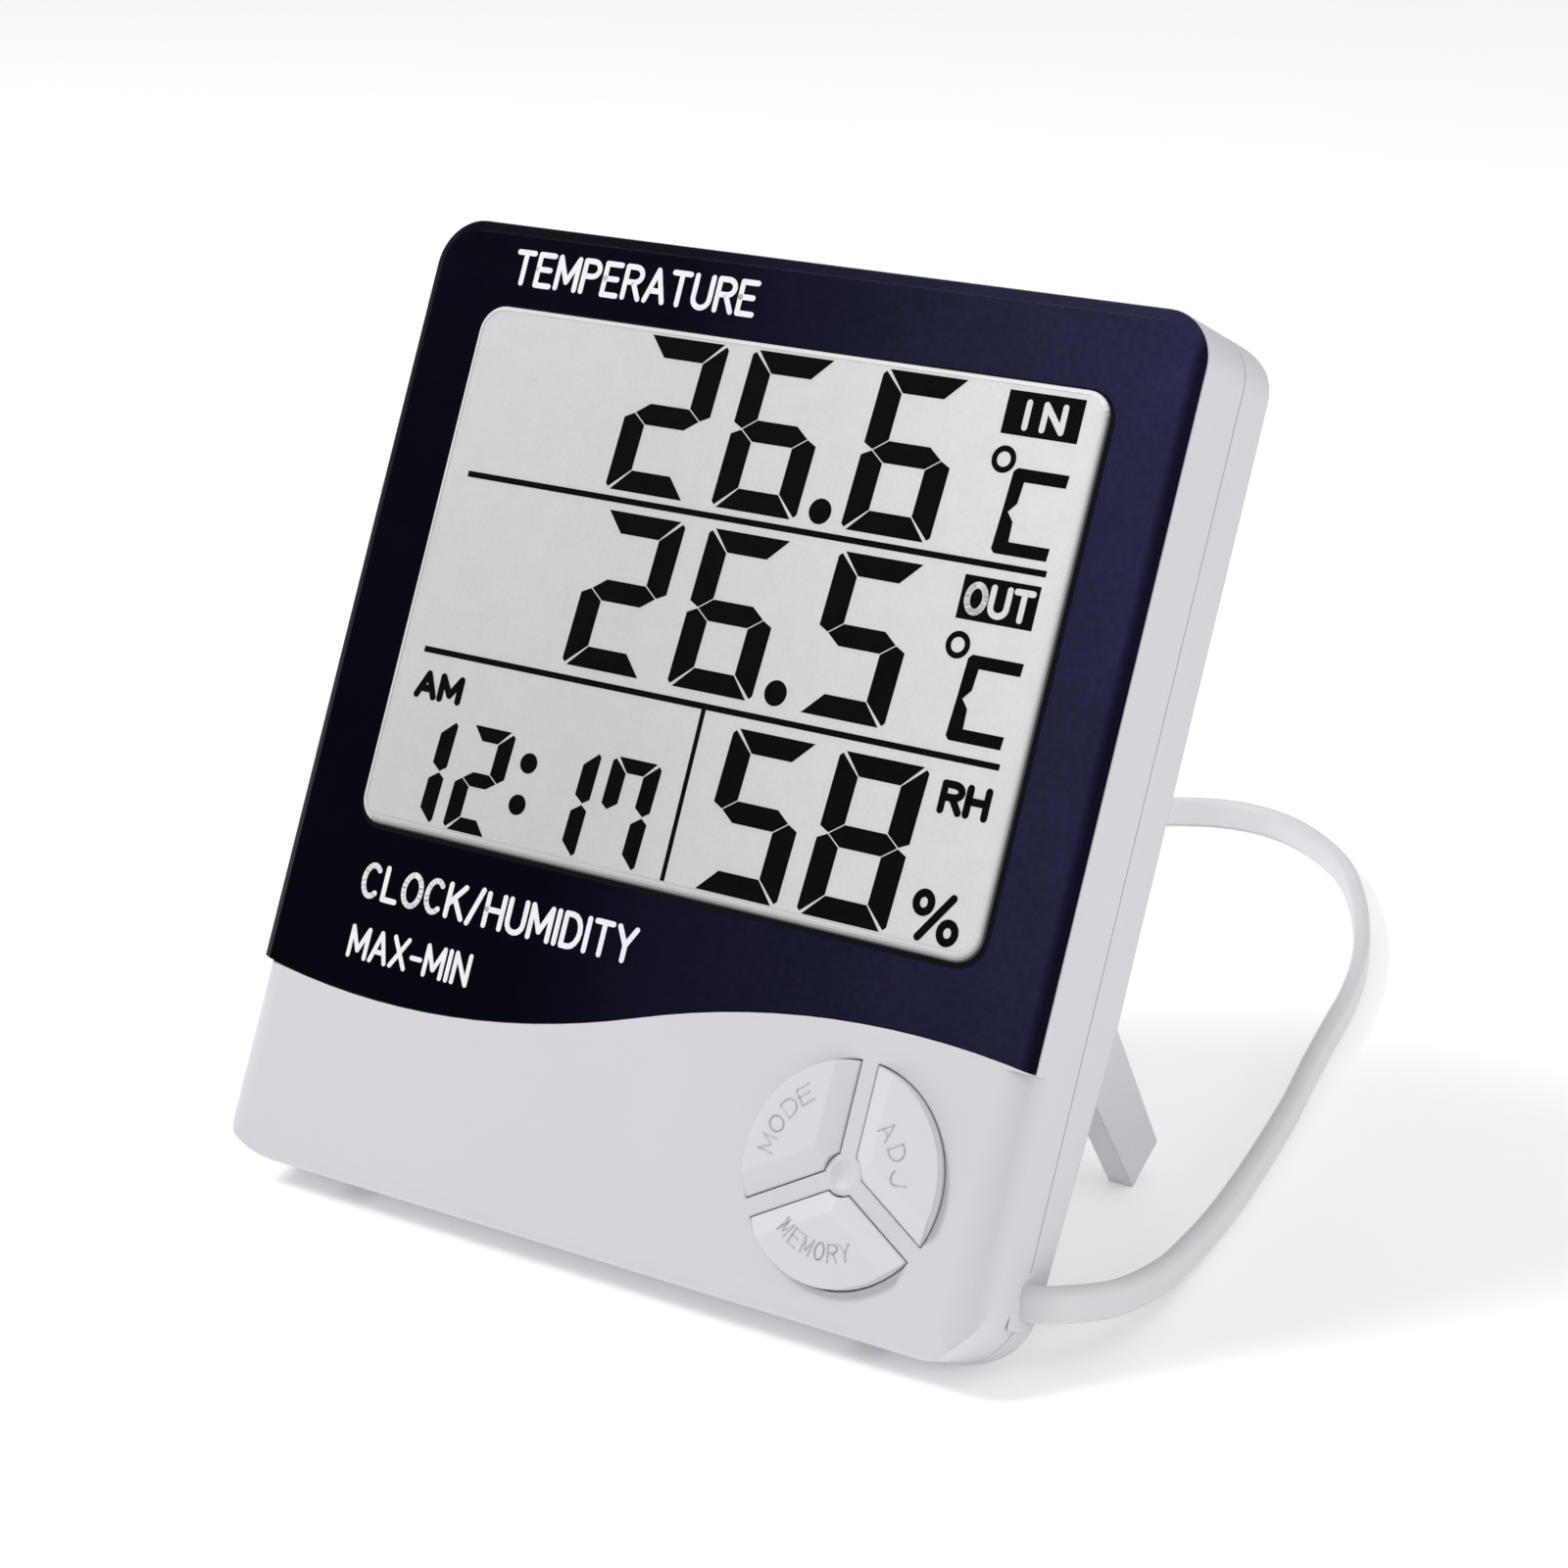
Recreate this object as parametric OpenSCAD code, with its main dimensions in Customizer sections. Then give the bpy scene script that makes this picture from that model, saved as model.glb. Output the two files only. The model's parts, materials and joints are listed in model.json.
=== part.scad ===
// Maximum and minimum thermometer with a humidity reading, a fold-out stand
// and an outdoor probe on a flat lead. It is drawn standing on a desk,
// leaning back on its open stand. Millimetres, +Z up, front towards -Y.
// Most modules draw in the case frame: X across, Y from the front face
// towards the back, Z up the case from its bottom edge.

/* [Case] */
// Width of the case
case_w = 98; // [96:1:104]
// Height of the case
case_h = 107; // [105:1:112]
// Depth of the case at its side walls
case_d = 15; // [15:0.5:17]
// Thickness of the case walls
wall = 1.8; // [1.6:0.1:2.2]
// Angle that the case leans back when it stands
lean_angle = 24.5; // [20:0.5:28]

/* [Front] */
// Height of the panel's wavy lower edge at its low end
wave_low = 20.3; // [19:0.1:21]
// Height of the panel's wavy lower edge at its high end
wave_high = 31.1; // [30:0.1:32]
// Thickness of the dark front panel
panel_t = 1.35; // [1.2:0.05:1.4]
// Outer radius of the ring of three keys
key_ring_r = 11.5; // [10.5:0.1:11.8]
// Width of the Y-shaped web between the keys
key_web = 2.2; // [1.8:0.1:2.6]
// How far the keys stand out of the face
key_height = 1.1; // [0.8:0.1:1.4]

/* [Stand] */
// Distance of the stand's outer faces from the middle
leg_x = 35.4; // [34.8:0.1:35.6]
// Thickness of each leg across the case
leg_t = 3; // [2.4:0.2:3.2]
// Height of the stand's pivot up the case
pivot_z = 52.5; // [51.5:0.5:53]

/* [Outdoor probe] */
// Width of the flat lead
lead_w = 4; // [3.6:0.1:4.4]
// Thickness of the flat lead
lead_t = 2.1; // [1.8:0.1:2.3]
// Radius of the probe's sleeve
sleeve_r = 3; // [2.6:0.1:3.4]

/* [Hidden] */
$fn = 64;
eps = 0.01;

// Case outline and edges
corner_top = 5.5;
corner_bottom = 7;
front_edge_r = 3.5;
back_edge_r = 3;
taper_z = 36;
bottom_d = case_d - 2.4;
split_y = 9.2;
split_gap = 0.08;
half_w = case_w / 2;
front_wall = 2.2;

// The wavy edge is two equal arcs that meet between their centres
wave_x_low = -31;
wave_x_high = 35;
wave_span = wave_x_high - wave_x_low;
wave_rise = wave_high - wave_low;
wave_turn = 2 * atan(wave_rise / wave_span);
wave_r = wave_span / 2 / sin(wave_turn);
wave_mid = (wave_x_low + wave_x_high) / 2;

// Display
win_x = 40.2;
win_z0 = 38.9;
win_z1 = 97.6;
win_r = 3;
lens_proud = 0.35;
lcd_x = 41.4;
lcd_z0 = 36.8;
lcd_z1 = 99;

// Keys on the front
key_x = 30.8;
key_z = 15.75;
key_gap = 0.15;
key_travel = 0.6;
hub_r = 2.3;

key_slope = 2.3;

// Keyhole and sound holes in the back
keyhole_z = 90;
keyhole_r = 3.6;
keyhole_slot_r = 1.7;
buzzer_x = -28;
buzzer_z = 85;

// Keys on the back
rear_key_r = 2.6;
rear_key_z = 70;
unit_x = 12;
reset_x = -12;

// Stand
leg_inner_y = 6.2;
leg_foot_z = 1;
pivot_y = 13.2;
pin_r = 1;
pin_fit = 0.05;
slot_gap = 0.35;
slot_x0 = leg_x - leg_t - slot_gap;
slot_x1 = leg_x + slot_gap;
slot_y0 = leg_inner_y - 0.3;
slot_wall = 1.1;
leg_reach = pivot_z - leg_foot_z;
leg_drop = pivot_y - leg_inner_y;
rest_z = (bottom_d - back_edge_r) * sin(lean_angle)
    - back_edge_r * cos(lean_angle) + back_edge_r;
pivot_height = pivot_z * cos(lean_angle) - pivot_y * sin(lean_angle) + rest_z;
leg_line = sqrt(leg_reach * leg_reach + leg_drop * leg_drop);
leg_from_plumb = acos(pivot_height / leg_line) + atan2(leg_drop, leg_reach);
open_angle = leg_from_plumb + lean_angle;

// The origin is under the middle of the standing object
edge_reach = front_edge_r * (cos(lean_angle) + sin(lean_angle) - 1);
key_reach = (key_z - key_ring_r) * sin(lean_angle)
    - key_height * cos(lean_angle);
front_reach = min(edge_reach, key_reach);
pivot_reach = pivot_y * cos(lean_angle) + pivot_z * sin(lean_angle);
foot_reach = pivot_reach + leg_reach * sin(leg_from_plumb)
    + (bottom_d - pivot_y) * cos(leg_from_plumb);
centre_y = (front_reach + foot_reach) / 2;

stop_back = 0.95;

// Battery bay and its door
bay_z = 30;
bay_x0 = -27;
bay_x1 = 24.4;
door_x = 24;
door_z0 = 16.3;
door_z1 = 40.6;
cell_r = 5.25;
cell_l = 44.5;
cell_y = 13;
bulge_x = 29.4;
bulge_z0 = 16;
bulge_z1 = 44;
bulge_y = 19.8;
door_t = 1.2;
door_y = bulge_y - door_t;

// Screws
screw_x_top = 44.3;
screw_z_top = 102.5;
screw_x_low = 44;
screw_z_low = 25;
screw_head_y = 11.6;

// Lead and probe, measured on the desk from under the front edge
grommet_y = 9.5;
grommet_z = 7.8;
coil_x = -72;
coil_y = 118;
coil_r0 = 15.9;
coil_r1 = 27.3;
coil_h = 8.4;
coil_z = 0.6;
tie_turn = 200;
lead_z = lead_w / 2 + 0.1;
exit_y = grommet_y * cos(lean_angle) + grommet_z * sin(lean_angle);
exit_z = grommet_z * cos(lean_angle) - grommet_y * sin(lean_angle) + rest_z;
probe_x0 = -32;
probe_y = 93;
sleeve_l = 18;
tip_r = 2.4;
tip_l = 13;
cord_route = [
    [half_w, exit_y, exit_z], [50.8, 13, 7.2], [52, 15.4, 6.7],
    [52.9, 18.6, 5.9], [53.4, 22.4, 5], [53.4, 28, 4.1], [52.7, 34, 3.2],
    [51.5, 40, 2.5], [49.8, 49, lead_z], [47.4, 60, lead_z],
    [44.6, 71, lead_z], [41.6, 82, lead_z], [38, 93.5, lead_z],
    [34.6, 105, lead_z], [31.4, 116, lead_z], [27.2, 127.5, lead_z],
    [22, 138.5, lead_z], [16, 149, lead_z], [8.5, 159.5, lead_z],
    [-0.5, 167.5, lead_z], [-9, 171.6, lead_z], [-17, 171.4, lead_z],
    [-24.5, 167, lead_z], [-32, 160, lead_z], [-41, 152.4, lead_z],
    [-51, 147, 2.3], [-62, 144.6, 2.6], [-71, 144.2, 2.7]];
tail_route = [
    [-72, 91.8, 6.9], [-64, 91.9, 6.2], [-56, 92.2, 4.8],
    [-48, 92.6, 3.3], [-40, 92.9, 3],
    [probe_x0 - 0.05, probe_y, sleeve_r]];

// ---- frames and sweeps -------------------------------------------------

// Stands the case frame on the desk, leaning back
module lean() {
    translate([0, -centre_y, rest_z])
        rotate([-lean_angle, 0, 0])
            children();
}

// Moves desk measurements to the origin under the object's middle
module desk() {
    translate([0, -centre_y, 0])
        children();
}

// Sweeps an X-Z outline from y0 back to y1
module along_y(y0, y1) {
    translate([0, y1, 0])
        rotate([90, 0, 0])
            linear_extrude(y1 - y0)
                children();
}

// Sweeps a Y-Z outline from x0 to x1
module along_x(x0, x1) {
    translate([x0, 0, 0])
        rotate([90, 0, 90])
            linear_extrude(x1 - x0)
                children();
}

// A rod along Y
module rod_y(x, z, y0, y1, r) {
    translate([x, y1, z])
        rotate([90, 0, 0])
            cylinder(r = r, h = y1 - y0);
}

// A rod along X
module rod_x(y, z, x0, x1, r) {
    translate([x0, y, z])
        rotate([0, 90, 0])
            cylinder(r = r, h = x1 - x0);
}

// A box given by its two corners
module box(x0, x1, y0, y1, z0, z1) {
    translate([x0, y0, z0])
        cube([x1 - x0, y1 - y0, z1 - z0]);
}

// A rectangle with round corners, given by its edges
module rounded(x0, x1, z0, z1, r) {
    translate([x0 + r, z0])
        square([x1 - x0 - 2 * r, z1 - z0]);
    translate([x0, z0 + r])
        square([x1 - x0, z1 - z0 - 2 * r]);
    for (x = [x0 + r, x1 - r], z = [z0 + r, z1 - r])
        translate([x, z])
            circle(r = r);
}

// ---- case outlines -----------------------------------------------------

// Front outline of the case, drawn in by a distance all round
module case_outline(inset = 0) {
    rounded(-half_w + inset, half_w - inset, inset, case_h - 20,
        corner_bottom - inset);
    rounded(-half_w + inset, half_w - inset, 20, case_h - inset,
        max(corner_top - inset, 1));
}

// Side profile of the case, with its rounded and tapered edges
module side_profile() {
    polygon([[0, front_edge_r], [0, case_h], [case_d - back_edge_r, case_h],
        [case_d, case_h - back_edge_r], [case_d, taper_z],
        [bottom_d, back_edge_r], [bottom_d - back_edge_r, 0],
        [front_edge_r, 0]]);
    translate([front_edge_r, front_edge_r])
        circle(r = front_edge_r);
    translate([bottom_d - back_edge_r, back_edge_r])
        circle(r = back_edge_r);
    translate([case_d - back_edge_r, case_h - back_edge_r])
        circle(r = back_edge_r);
}

// The space above the panel's wavy lower edge, raised by a distance
module above_wave(raise = 0) {
    intersection() {
        translate([wave_x_low, wave_low + wave_r + raise])
            circle(r = wave_r, $fn = 180);
        translate([-half_w - 5, 0])
            square([half_w + 5 + wave_mid, case_h + 5]);
    }
    difference() {
        translate([wave_mid, wave_low])
            square([half_w + 5 - wave_mid, case_h]);
        translate([wave_x_high, wave_high - wave_r + raise])
            circle(r = wave_r, $fn = 180);
    }
}

// Rounds the lower front edge at one side of the case
module side_round(side, top) {
    x = side * (half_w - front_edge_r);
    outside = side * (half_w + 2);
    difference() {
        box(min(x, outside), max(x, outside), -2, front_edge_r, -2, top);
        translate([x, front_edge_r, -3])
            cylinder(r = front_edge_r, h = top + 4);
    }
}

// The whole outer block of the case
module case_block() {
    difference() {
        intersection() {
            along_y(0, case_d)
                case_outline();
            along_x(-half_w, half_w)
                side_profile();
        }
        side_round(1, wave_high - 1.2);
        side_round(-1, wave_low + 1.55);
    }
}

// ---- case --------------------------------------------------------------

module cord_notch() {
    box(half_w - 3, half_w + 1, grommet_y - 2, grommet_y + 2,
        grommet_z - 2.6, grommet_z + 2.6);
}

module key_sectors(r, web, hub) {
    difference() {
        circle(r = r);
        circle(r = hub);
        for (turn = [90, 210, 330])
            rotate(turn)
                translate([0, -web / 2])
                    square([r + 1, web]);
    }
}

module front_shell() {
    color("gainsboro") lean() difference() {
        union() {
            difference() {
                intersection() {
                    case_block();
                    along_y(-1, split_y - split_gap / 2)
                        case_outline();
                }
                along_y(front_wall, split_y + 1)
                    case_outline(wall);
            }
            for (side = [-1, 1]) {
                rod_y(side * screw_x_top, screw_z_top, front_wall - eps,
                    split_y - split_gap, 2.3);
                rod_y(side * screw_x_low, screw_z_low, front_wall - eps,
                    split_y - split_gap, 2.6);
            }
        }
        // seat of the dark panel, whose front edge laps over a thin rim
        along_y(-1, panel_t + 0.05) intersection() {
            case_outline(0.4);
            above_wave(-0.12);
        }
        along_y(-1, 0.75) intersection() {
            case_outline(-1);
            above_wave(-0.12);
        }
        // display opening
        along_y(0, 4)
            rounded(-lcd_x - 0.3, lcd_x + 0.3, lcd_z0 - 0.3, lcd_z1 + 0.3,
                0.5);
        // openings for the three keys
        along_y(-1, 4)
            translate([key_x, key_z])
                key_sectors(key_ring_r + key_gap, key_web - 2 * key_gap,
                    hub_r - key_gap);
        // dimple in the middle of the keys
        translate([key_x, -2.6, key_z])
            sphere(r = 3);
        // pilot holes for the case screws
        for (side = [-1, 1]) {
            rod_y(side * screw_x_top, screw_z_top, 3.2, 20, 1.05);
            rod_y(side * screw_x_low, screw_z_low, 3.2, 20, 1.05);
            box(side * leg_x - (side > 0 ? leg_t + slot_gap : slot_gap),
                side * leg_x + (side > 0 ? slot_gap : leg_t + slot_gap),
                slot_y0, 12, -1, 3);
        }
        cord_notch();
    }
}

// Walls of the recess that one leg folds into
module leg_slot_walls(side) {
    x0 = side > 0 ? slot_x0 - slot_wall : -slot_x1 - slot_wall - 1.4;
    x1 = side > 0 ? slot_x1 + slot_wall + 1.4 : -slot_x0 + slot_wall;
    box(x0, x1, slot_y0 - 1, case_d - 1, 2.2, pivot_z + 4.4);
}

// The recess for one leg, with a step that stops it when it is open
module leg_slot(side) {
    x0 = side > 0 ? slot_x0 : -slot_x1;
    x1 = side > 0 ? slot_x1 : -slot_x0;
    box(x0, x1, slot_y0, case_d + 2, -1, pivot_z + 1.95);
    box(x0, x1, pivot_y - stop_back, case_d + 2, 10, pivot_z + 2.7);
}

// The hollow of the case behind the parting line
module rear_hollow() {
    intersection() {
        along_y(split_y - 1, case_d - wall)
            case_outline(wall);
        translate([0, -wall, 0])
            along_x(-half_w, half_w)
                side_profile();
    }
}

// Tongue of the rear shell that fits inside the front shell
module tongue() {
    difference() {
        union() {
            along_y(split_y - 1.2, split_y + 1.6)
                case_outline(wall + 0.1);
            along_y(split_y + split_gap, split_y + 1.6)
                case_outline(wall - 0.2);
        }
        along_y(split_y - 2, split_y + 2)
            case_outline(wall + 1.2);
        box(-50, 50, 0, 12, -1, 12);
        for (side = [-1, 1])
            rod_y(side * screw_x_low, screw_z_low, 5, 12, 2.8);
        for (side = [-1, 1])
            rod_y(side * screw_x_top, screw_z_top, 5, 12, 2.5);
    }
}

// Walls inside the rear shell: leg recesses, trough and battery bay
module inner_walls() {
    intersection() {
        union() {
            leg_slot_walls(1);
            leg_slot_walls(-1);
            box(-slot_x0, slot_x0, pivot_y - 3, case_d - 1,
                pivot_z - 3.1, pivot_z + 3.1);
            box(-bulge_x + 0.6, bulge_x - 0.6, 6.6, case_d - 0.5,
                bay_z - cell_r - 1.6, bay_z + cell_r + 1.6);
        }
        along_x(-half_w, half_w)
            side_profile();
    }
}

// Everything cut out of the rear shell for the pieces fitted to it
module rear_openings() {
    leg_slot(1);
    leg_slot(-1);
    // trough for the stand's cross bar
    box(-slot_x0 - eps, slot_x0 + eps, pivot_y - 2, case_d + 2,
        pivot_z - 2.1, pivot_z + 2.1);
    rod_x(pivot_y, pivot_z, -leg_x - 2.9, leg_x + 2.9, pin_r);
    // battery bay, and the seat of its sliding door
    box(bay_x0, bay_x1, 7.4, door_y + 0.1, bay_z - cell_r - 0.4,
        bay_z + cell_r + 0.4);
    box(-door_x - 0.2, door_x + 0.2, door_y - 0.1, bulge_y + 1,
        bulge_z0 - 1, door_z1 + 0.2);
    box(-door_x - 1.2, door_x + 1.2, door_y - 0.1, door_y + 0.6,
        bulge_z0 - 1, door_z1 + 0.2);
    keyhole();
    // air slots over the humidity sensor
    for (x = [24:3:36])
        box(x - 0.6, x + 0.6, case_d - 3, case_d + 1, 78, 92);
    // sound holes over the buzzer
    rod_y(buzzer_x, buzzer_z, case_d - 3, case_d + 1, 0.8);
    for (turn = [0:60:300])
        rod_y(buzzer_x + 3 * cos(turn), buzzer_z + 3 * sin(turn),
            case_d - 3, case_d + 1, 0.8);
    for (x = [unit_x, reset_x])
        rod_y(x, rear_key_z, case_d - 3, case_d + 1, rear_key_r + 0.15);
    for (side = [-1, 1]) {
        screw_well(side * screw_x_top, screw_z_top);
        screw_well(side * screw_x_low, screw_z_low);
    }
    cord_notch();
}

// Hole for a wall screw: the head goes in below and slides up
module keyhole() {
    rod_y(0, keyhole_z, case_d - 4, case_d + 1, keyhole_r);
    rod_y(0, keyhole_z + 6, case_d - 4, case_d + 1, keyhole_slot_r);
    box(-keyhole_slot_r, keyhole_slot_r, case_d - 4, case_d + 1,
        keyhole_z, keyhole_z + 6);
}

// Clearance for a case screw and its head
module screw_well(x, z) {
    rod_y(x, z, 5, case_d + 1, 1.25);
    rod_y(x, z, screw_head_y, case_d + 1, 2);
}

module rear_shell() {
    color("gainsboro") lean() difference() {
        union() {
            difference() {
                intersection() {
                    case_block();
                    along_y(split_y + split_gap / 2, case_d + 1)
                        case_outline();
                }
                rear_hollow();
            }
            along_y(bottom_d - wall, bulge_y)
                rounded(-bulge_x, bulge_x, bulge_z0, bulge_z1, 3);
            tongue();
            inner_walls();
            for (side = [-1, 1]) {
                rod_y(side * screw_x_top, screw_z_top, split_y,
                    case_d - 1, 2.3);
                rod_y(side * screw_x_low, screw_z_low, split_y,
                    case_d - 1.2, 2.6);
            }
        }
        rear_openings();
    }
}

// ---- front panel and display -------------------------------------------

// A slab with round corners and a bevelled front edge
module bevelled_slab(x0, x1, z0, z1, r, y1, bevel, fall) {
    along_y(fall, y1)
        rounded(x0, x1, z0, z1, r);
    for (x = [x0 + r, x1 - r], z = [z0 + r, z1 - r])
        translate([x, fall, z])
            rotate([90, 0, 0])
                cylinder(r1 = r, r2 = r - bevel, h = fall);
    linear_section(x0, x1, fall, bevel, z0 + r, z1 - r);
    rotate([0, -90, 0])
        linear_section(z0, z1, fall, bevel, -x1 + r, -x0 - r);
}

// A bar along Z whose front edges are bevelled at both ends of X
module linear_section(x0, x1, fall, bevel, z0, z1) {
    translate([0, 0, z0])
        linear_extrude(z1 - z0)
            polygon([[x0, fall], [x1, fall], [x1 - bevel, 0],
                [x0 + bevel, 0]]);
}

module front_panel() {
    color("midnightblue") lean() difference() {
        intersection() {
            union() {
                bevelled_slab(-half_w + 0.08, half_w - 0.08, 0,
                    case_h - 0.08, corner_top - 0.08, 0.72, 1.2, 0.7);
                along_y(0.7, panel_t)
                    rounded(-half_w + 0.5, half_w - 0.5, 0,
                        case_h - 0.5, corner_top - 0.5);
            }
            along_y(-1, panel_t)
                above_wave();
        }
        along_y(-1, 3)
            rounded(-win_x - 0.06, win_x + 0.06, win_z0 - 0.06,
                win_z1 + 0.06, win_r);
    }
}

module window_lens() {
    color("whitesmoke", 0.4) lean() {
        along_y(0, panel_t)
            rounded(-win_x, win_x, win_z0, win_z1, win_r);
        translate([0, -lens_proud, 0])
            bevelled_slab(-win_x, win_x, win_z0, win_z1, win_r,
                lens_proud + eps, 0.5, lens_proud);
    }
}

module lcd_front_glass() {
    color("silver") lean()
        box(-lcd_x, lcd_x, 1.5, 2.6, lcd_z0, lcd_z1);
}

module lcd_rear_glass() {
    color("lightgrey") lean()
        box(-lcd_x, lcd_x, 2.65, 3.75, 39.2, lcd_z1);
}

module lcd_reflector() {
    color("white") lean()
        box(-lcd_x + 0.4, lcd_x - 0.4, 3.8, 4.1, 39.4, lcd_z1 - 0.4);
}

module lcd_frame() {
    color("snow") lean() difference() {
        along_y(2.7, 4.5)
            rounded(-42.9, 42.9, 35.4, 100.2, 0.6);
        along_y(2, 5)
            rounded(-lcd_x - 0.3, lcd_x + 0.3, lcd_z0 - 0.2, lcd_z1 + 0.2,
                0.3);
    }
}

module zebra_strip() {
    color("dimgray") lean() for (x = [-38, 1])
        box(x, x + 37, 2.65, 4.55, 37, 38.8);
}

// ---- electronics -------------------------------------------------------

module main_board() {
    color("darkgreen") lean() along_y(4.6, 5.6) difference() {
        union() {
            translate([-43.3, 57.5])
                square([86.6, 40.5]);
            translate([-29.6, 38.2])
                square([59.2, 20]);
        }
        for (x = [-40, 40])
            translate([x, 94])
                circle(r = 1.4);
    }
}

module chip_blob() {
    color("black") lean() {
        rod_y(0, 68, 5.62, 6.2, 6);
        rod_y(0, 68, 6.2, 6.8, 4.6);
    }
}

module crystal_can() {
    color("silver") lean()
        rod_x(6.8, 59.5, 12, 18.2, 1);
}

module buzzer() {
    color("dimgray") lean()
        rod_y(buzzer_x, buzzer_z, 5.62, 9.6, 6.5);
}

module humidity_sensor() {
    color("royalblue") lean()
        box(24.5, 35.5, 5.62, 10.2, 78, 92);
}

module room_thermistor() {
    color("orange") lean() {
        rod_y(39.5, 88, 5.62, 9, 0.5);
        rod_y(39.5, 88, 8.9, 11, 1.3);
    }
}

module key_board() {
    color("darkgreen") lean()
        box(17.2, 43.4, 3.95, 4.75, 2.4, 21.6);
}

module keypad_mat() {
    color("lightgrey") lean()
        box(18, 43, 3.5, 3.9, 3, 21.4);
}

// Outline of the lowest key: a third of the ring, clear of the web
module key_outline(r, web, hub) {
    reach = r + 1;
    rotate(210) intersection() {
        difference() {
            circle(r = r);
            circle(r = hub);
        }
        translate([-reach, web / 2])
            square([2 * reach, reach]);
        rotate(120)
            translate([-reach, -reach - web / 2])
                square([2 * reach, reach]);
    }
}

// The slice that leaves a key's straight edge sloping down to the web
module slope_cut(side) {
    low = side * key_web / 2;
    high = side * (key_web / 2 + key_slope);
    along_x(-4, key_ring_r + 2)
        polygon([[-0.1, low - side], [-0.1, low], [-key_height, high],
            [-key_height - 1, high], [-key_height - 1, low - side]]);
}

// One front key, turned from the lowest place in the ring to its own
module key(turn) {
    color("ghostwhite") lean()
        translate([key_x, 0, key_z]) rotate([0, -turn, 0]) difference() {
            union() {
                along_y(-key_height, 2.5)
                    key_outline(key_ring_r, key_web, hub_r);
                along_y(2.35, 2.8)
                    key_outline(key_ring_r + 0.5, key_web - 1,
                        hub_r - 0.4);
            }
            for (side = [-1, 1])
                rotate([0, side * 60 - 270, 0])
                    slope_cut(side);
        }
}

module mode_button() {
    key(-120);
}

module adj_button() {
    key(120);
}

module memory_button() {
    key(0);
}

// ---- pieces on the back ------------------------------------------------

// A round key on the back, with a flange that keeps it in
module rear_key(x) {
    color("ghostwhite") lean() {
        rod_y(x, rear_key_z, 11, case_d + 0.8, rear_key_r);
        rod_y(x, rear_key_z, 12, 13, rear_key_r + 0.8);
    }
}

module unit_button() {
    rear_key(unit_x);
}

module reset_button() {
    rear_key(reset_x);
}

module rear_switches() {
    color("dimgray") lean() for (x = [unit_x, reset_x]) {
        box(x - 3, x + 3, 5.62, 9, rear_key_z - 3, rear_key_z + 3);
        rod_y(x, rear_key_z, 8.9, 10.3, 1.7);
    }
}

module battery() {
    color("darkgoldenrod") lean() {
        rod_x(cell_y, bay_z, -cell_l / 2, cell_l / 2, cell_r);
        rod_x(cell_y, bay_z, cell_l / 2 - 1, cell_l / 2 + 1.1, 1.9);
    }
}

module contact_plate() {
    color("silver") lean()
        box(bay_x1 - 0.8, bay_x1 - 0.3, 8.5, 17.5, bay_z - 4.5,
            bay_z + 4.5);
}

module contact_spring() {
    turns = 3;
    steps = 14;
    coil = [for (i = [0:turns * steps])
        let (part = i / (turns * steps), r = 4 - 1.4 * part,
            turn = i * 360 / steps)
        [bay_x0 + 0.6 + 3.5 * part, cell_y + r * cos(turn),
            bay_z + r * sin(turn)]];
    wire = [for (i = [0:5]) [0.35 * cos(i * 60), 0.35 * sin(i * 60)]];
    color("silver") lean()
        sweep(coil, wire, [0, 0, 1], [1, 0, 0]);
}

module battery_door() {
    color("gainsboro") lean() difference() {
        union() {
            box(-door_x, door_x, door_y, bulge_y, door_z0, door_z1);
            box(-door_x - 1, door_x + 1, door_y, door_y + 0.45, door_z0,
                door_z1);
        }
        for (z = [20.5:1.5:26.5])
            box(-7, 7, bulge_y - 0.4, bulge_y + 1, z, z + 0.7);
    }
}

module case_screw(x, z) {
    difference() {
        union() {
            rod_y(x, z, 3.6, screw_head_y + 0.1, 1);
            rod_y(x, z, screw_head_y, screw_head_y + 1.4, 1.8);
        }
        box(x - 1.1, x + 1.1, screw_head_y + 0.8, case_d, z - 0.2,
            z + 0.2);
        box(x - 0.2, x + 0.2, screw_head_y + 0.8, case_d, z - 1.1,
            z + 1.1);
    }
}

module case_screws() {
    color("silver") lean() for (side = [-1, 1]) {
        case_screw(side * screw_x_top, screw_z_top);
        case_screw(side * screw_x_low, screw_z_low);
    }
}

// ---- stand -------------------------------------------------------------

// Swings folded pieces of the stand out to where they stand open
module swung_open() {
    translate([0, pivot_y, pivot_z])
        rotate([open_angle, 0, 0])
            translate([0, -pivot_y, -pivot_z])
                children();
}

// Side outline of a leg, folded into the case
module leg_profile() {
    polygon([[leg_inner_y, leg_foot_z], [bottom_d, leg_foot_z],
        [case_d, taper_z], [case_d, pivot_z + 1.8],
        [leg_inner_y + 3, pivot_z + 1.8], [leg_inner_y, pivot_z - 1.2]]);
}

module stand() {
    color("gainsboro") lean() swung_open() difference() {
        union() {
            along_x(leg_x - leg_t, leg_x)
                leg_profile();
            along_x(-leg_x, -leg_x + leg_t)
                leg_profile();
            rod_x(pivot_y, pivot_z, -leg_x + 1, leg_x - 1, 1.6);
        }
        for (side = [-1, 1])
            rod_x(pivot_y, pivot_z, side * leg_x - 2, side * leg_x + 2,
                pin_r + pin_fit);
    }
}

module hinge_pins() {
    color("silver") lean() for (side = [-1, 1])
        rod_x(pivot_y, pivot_z, side * (leg_x + 0.5) - 2.3,
            side * (leg_x + 0.5) + 2.3, pin_r);
}

// ---- lead and probe ----------------------------------------------------

function unit(v) = v / norm(v);

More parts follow.
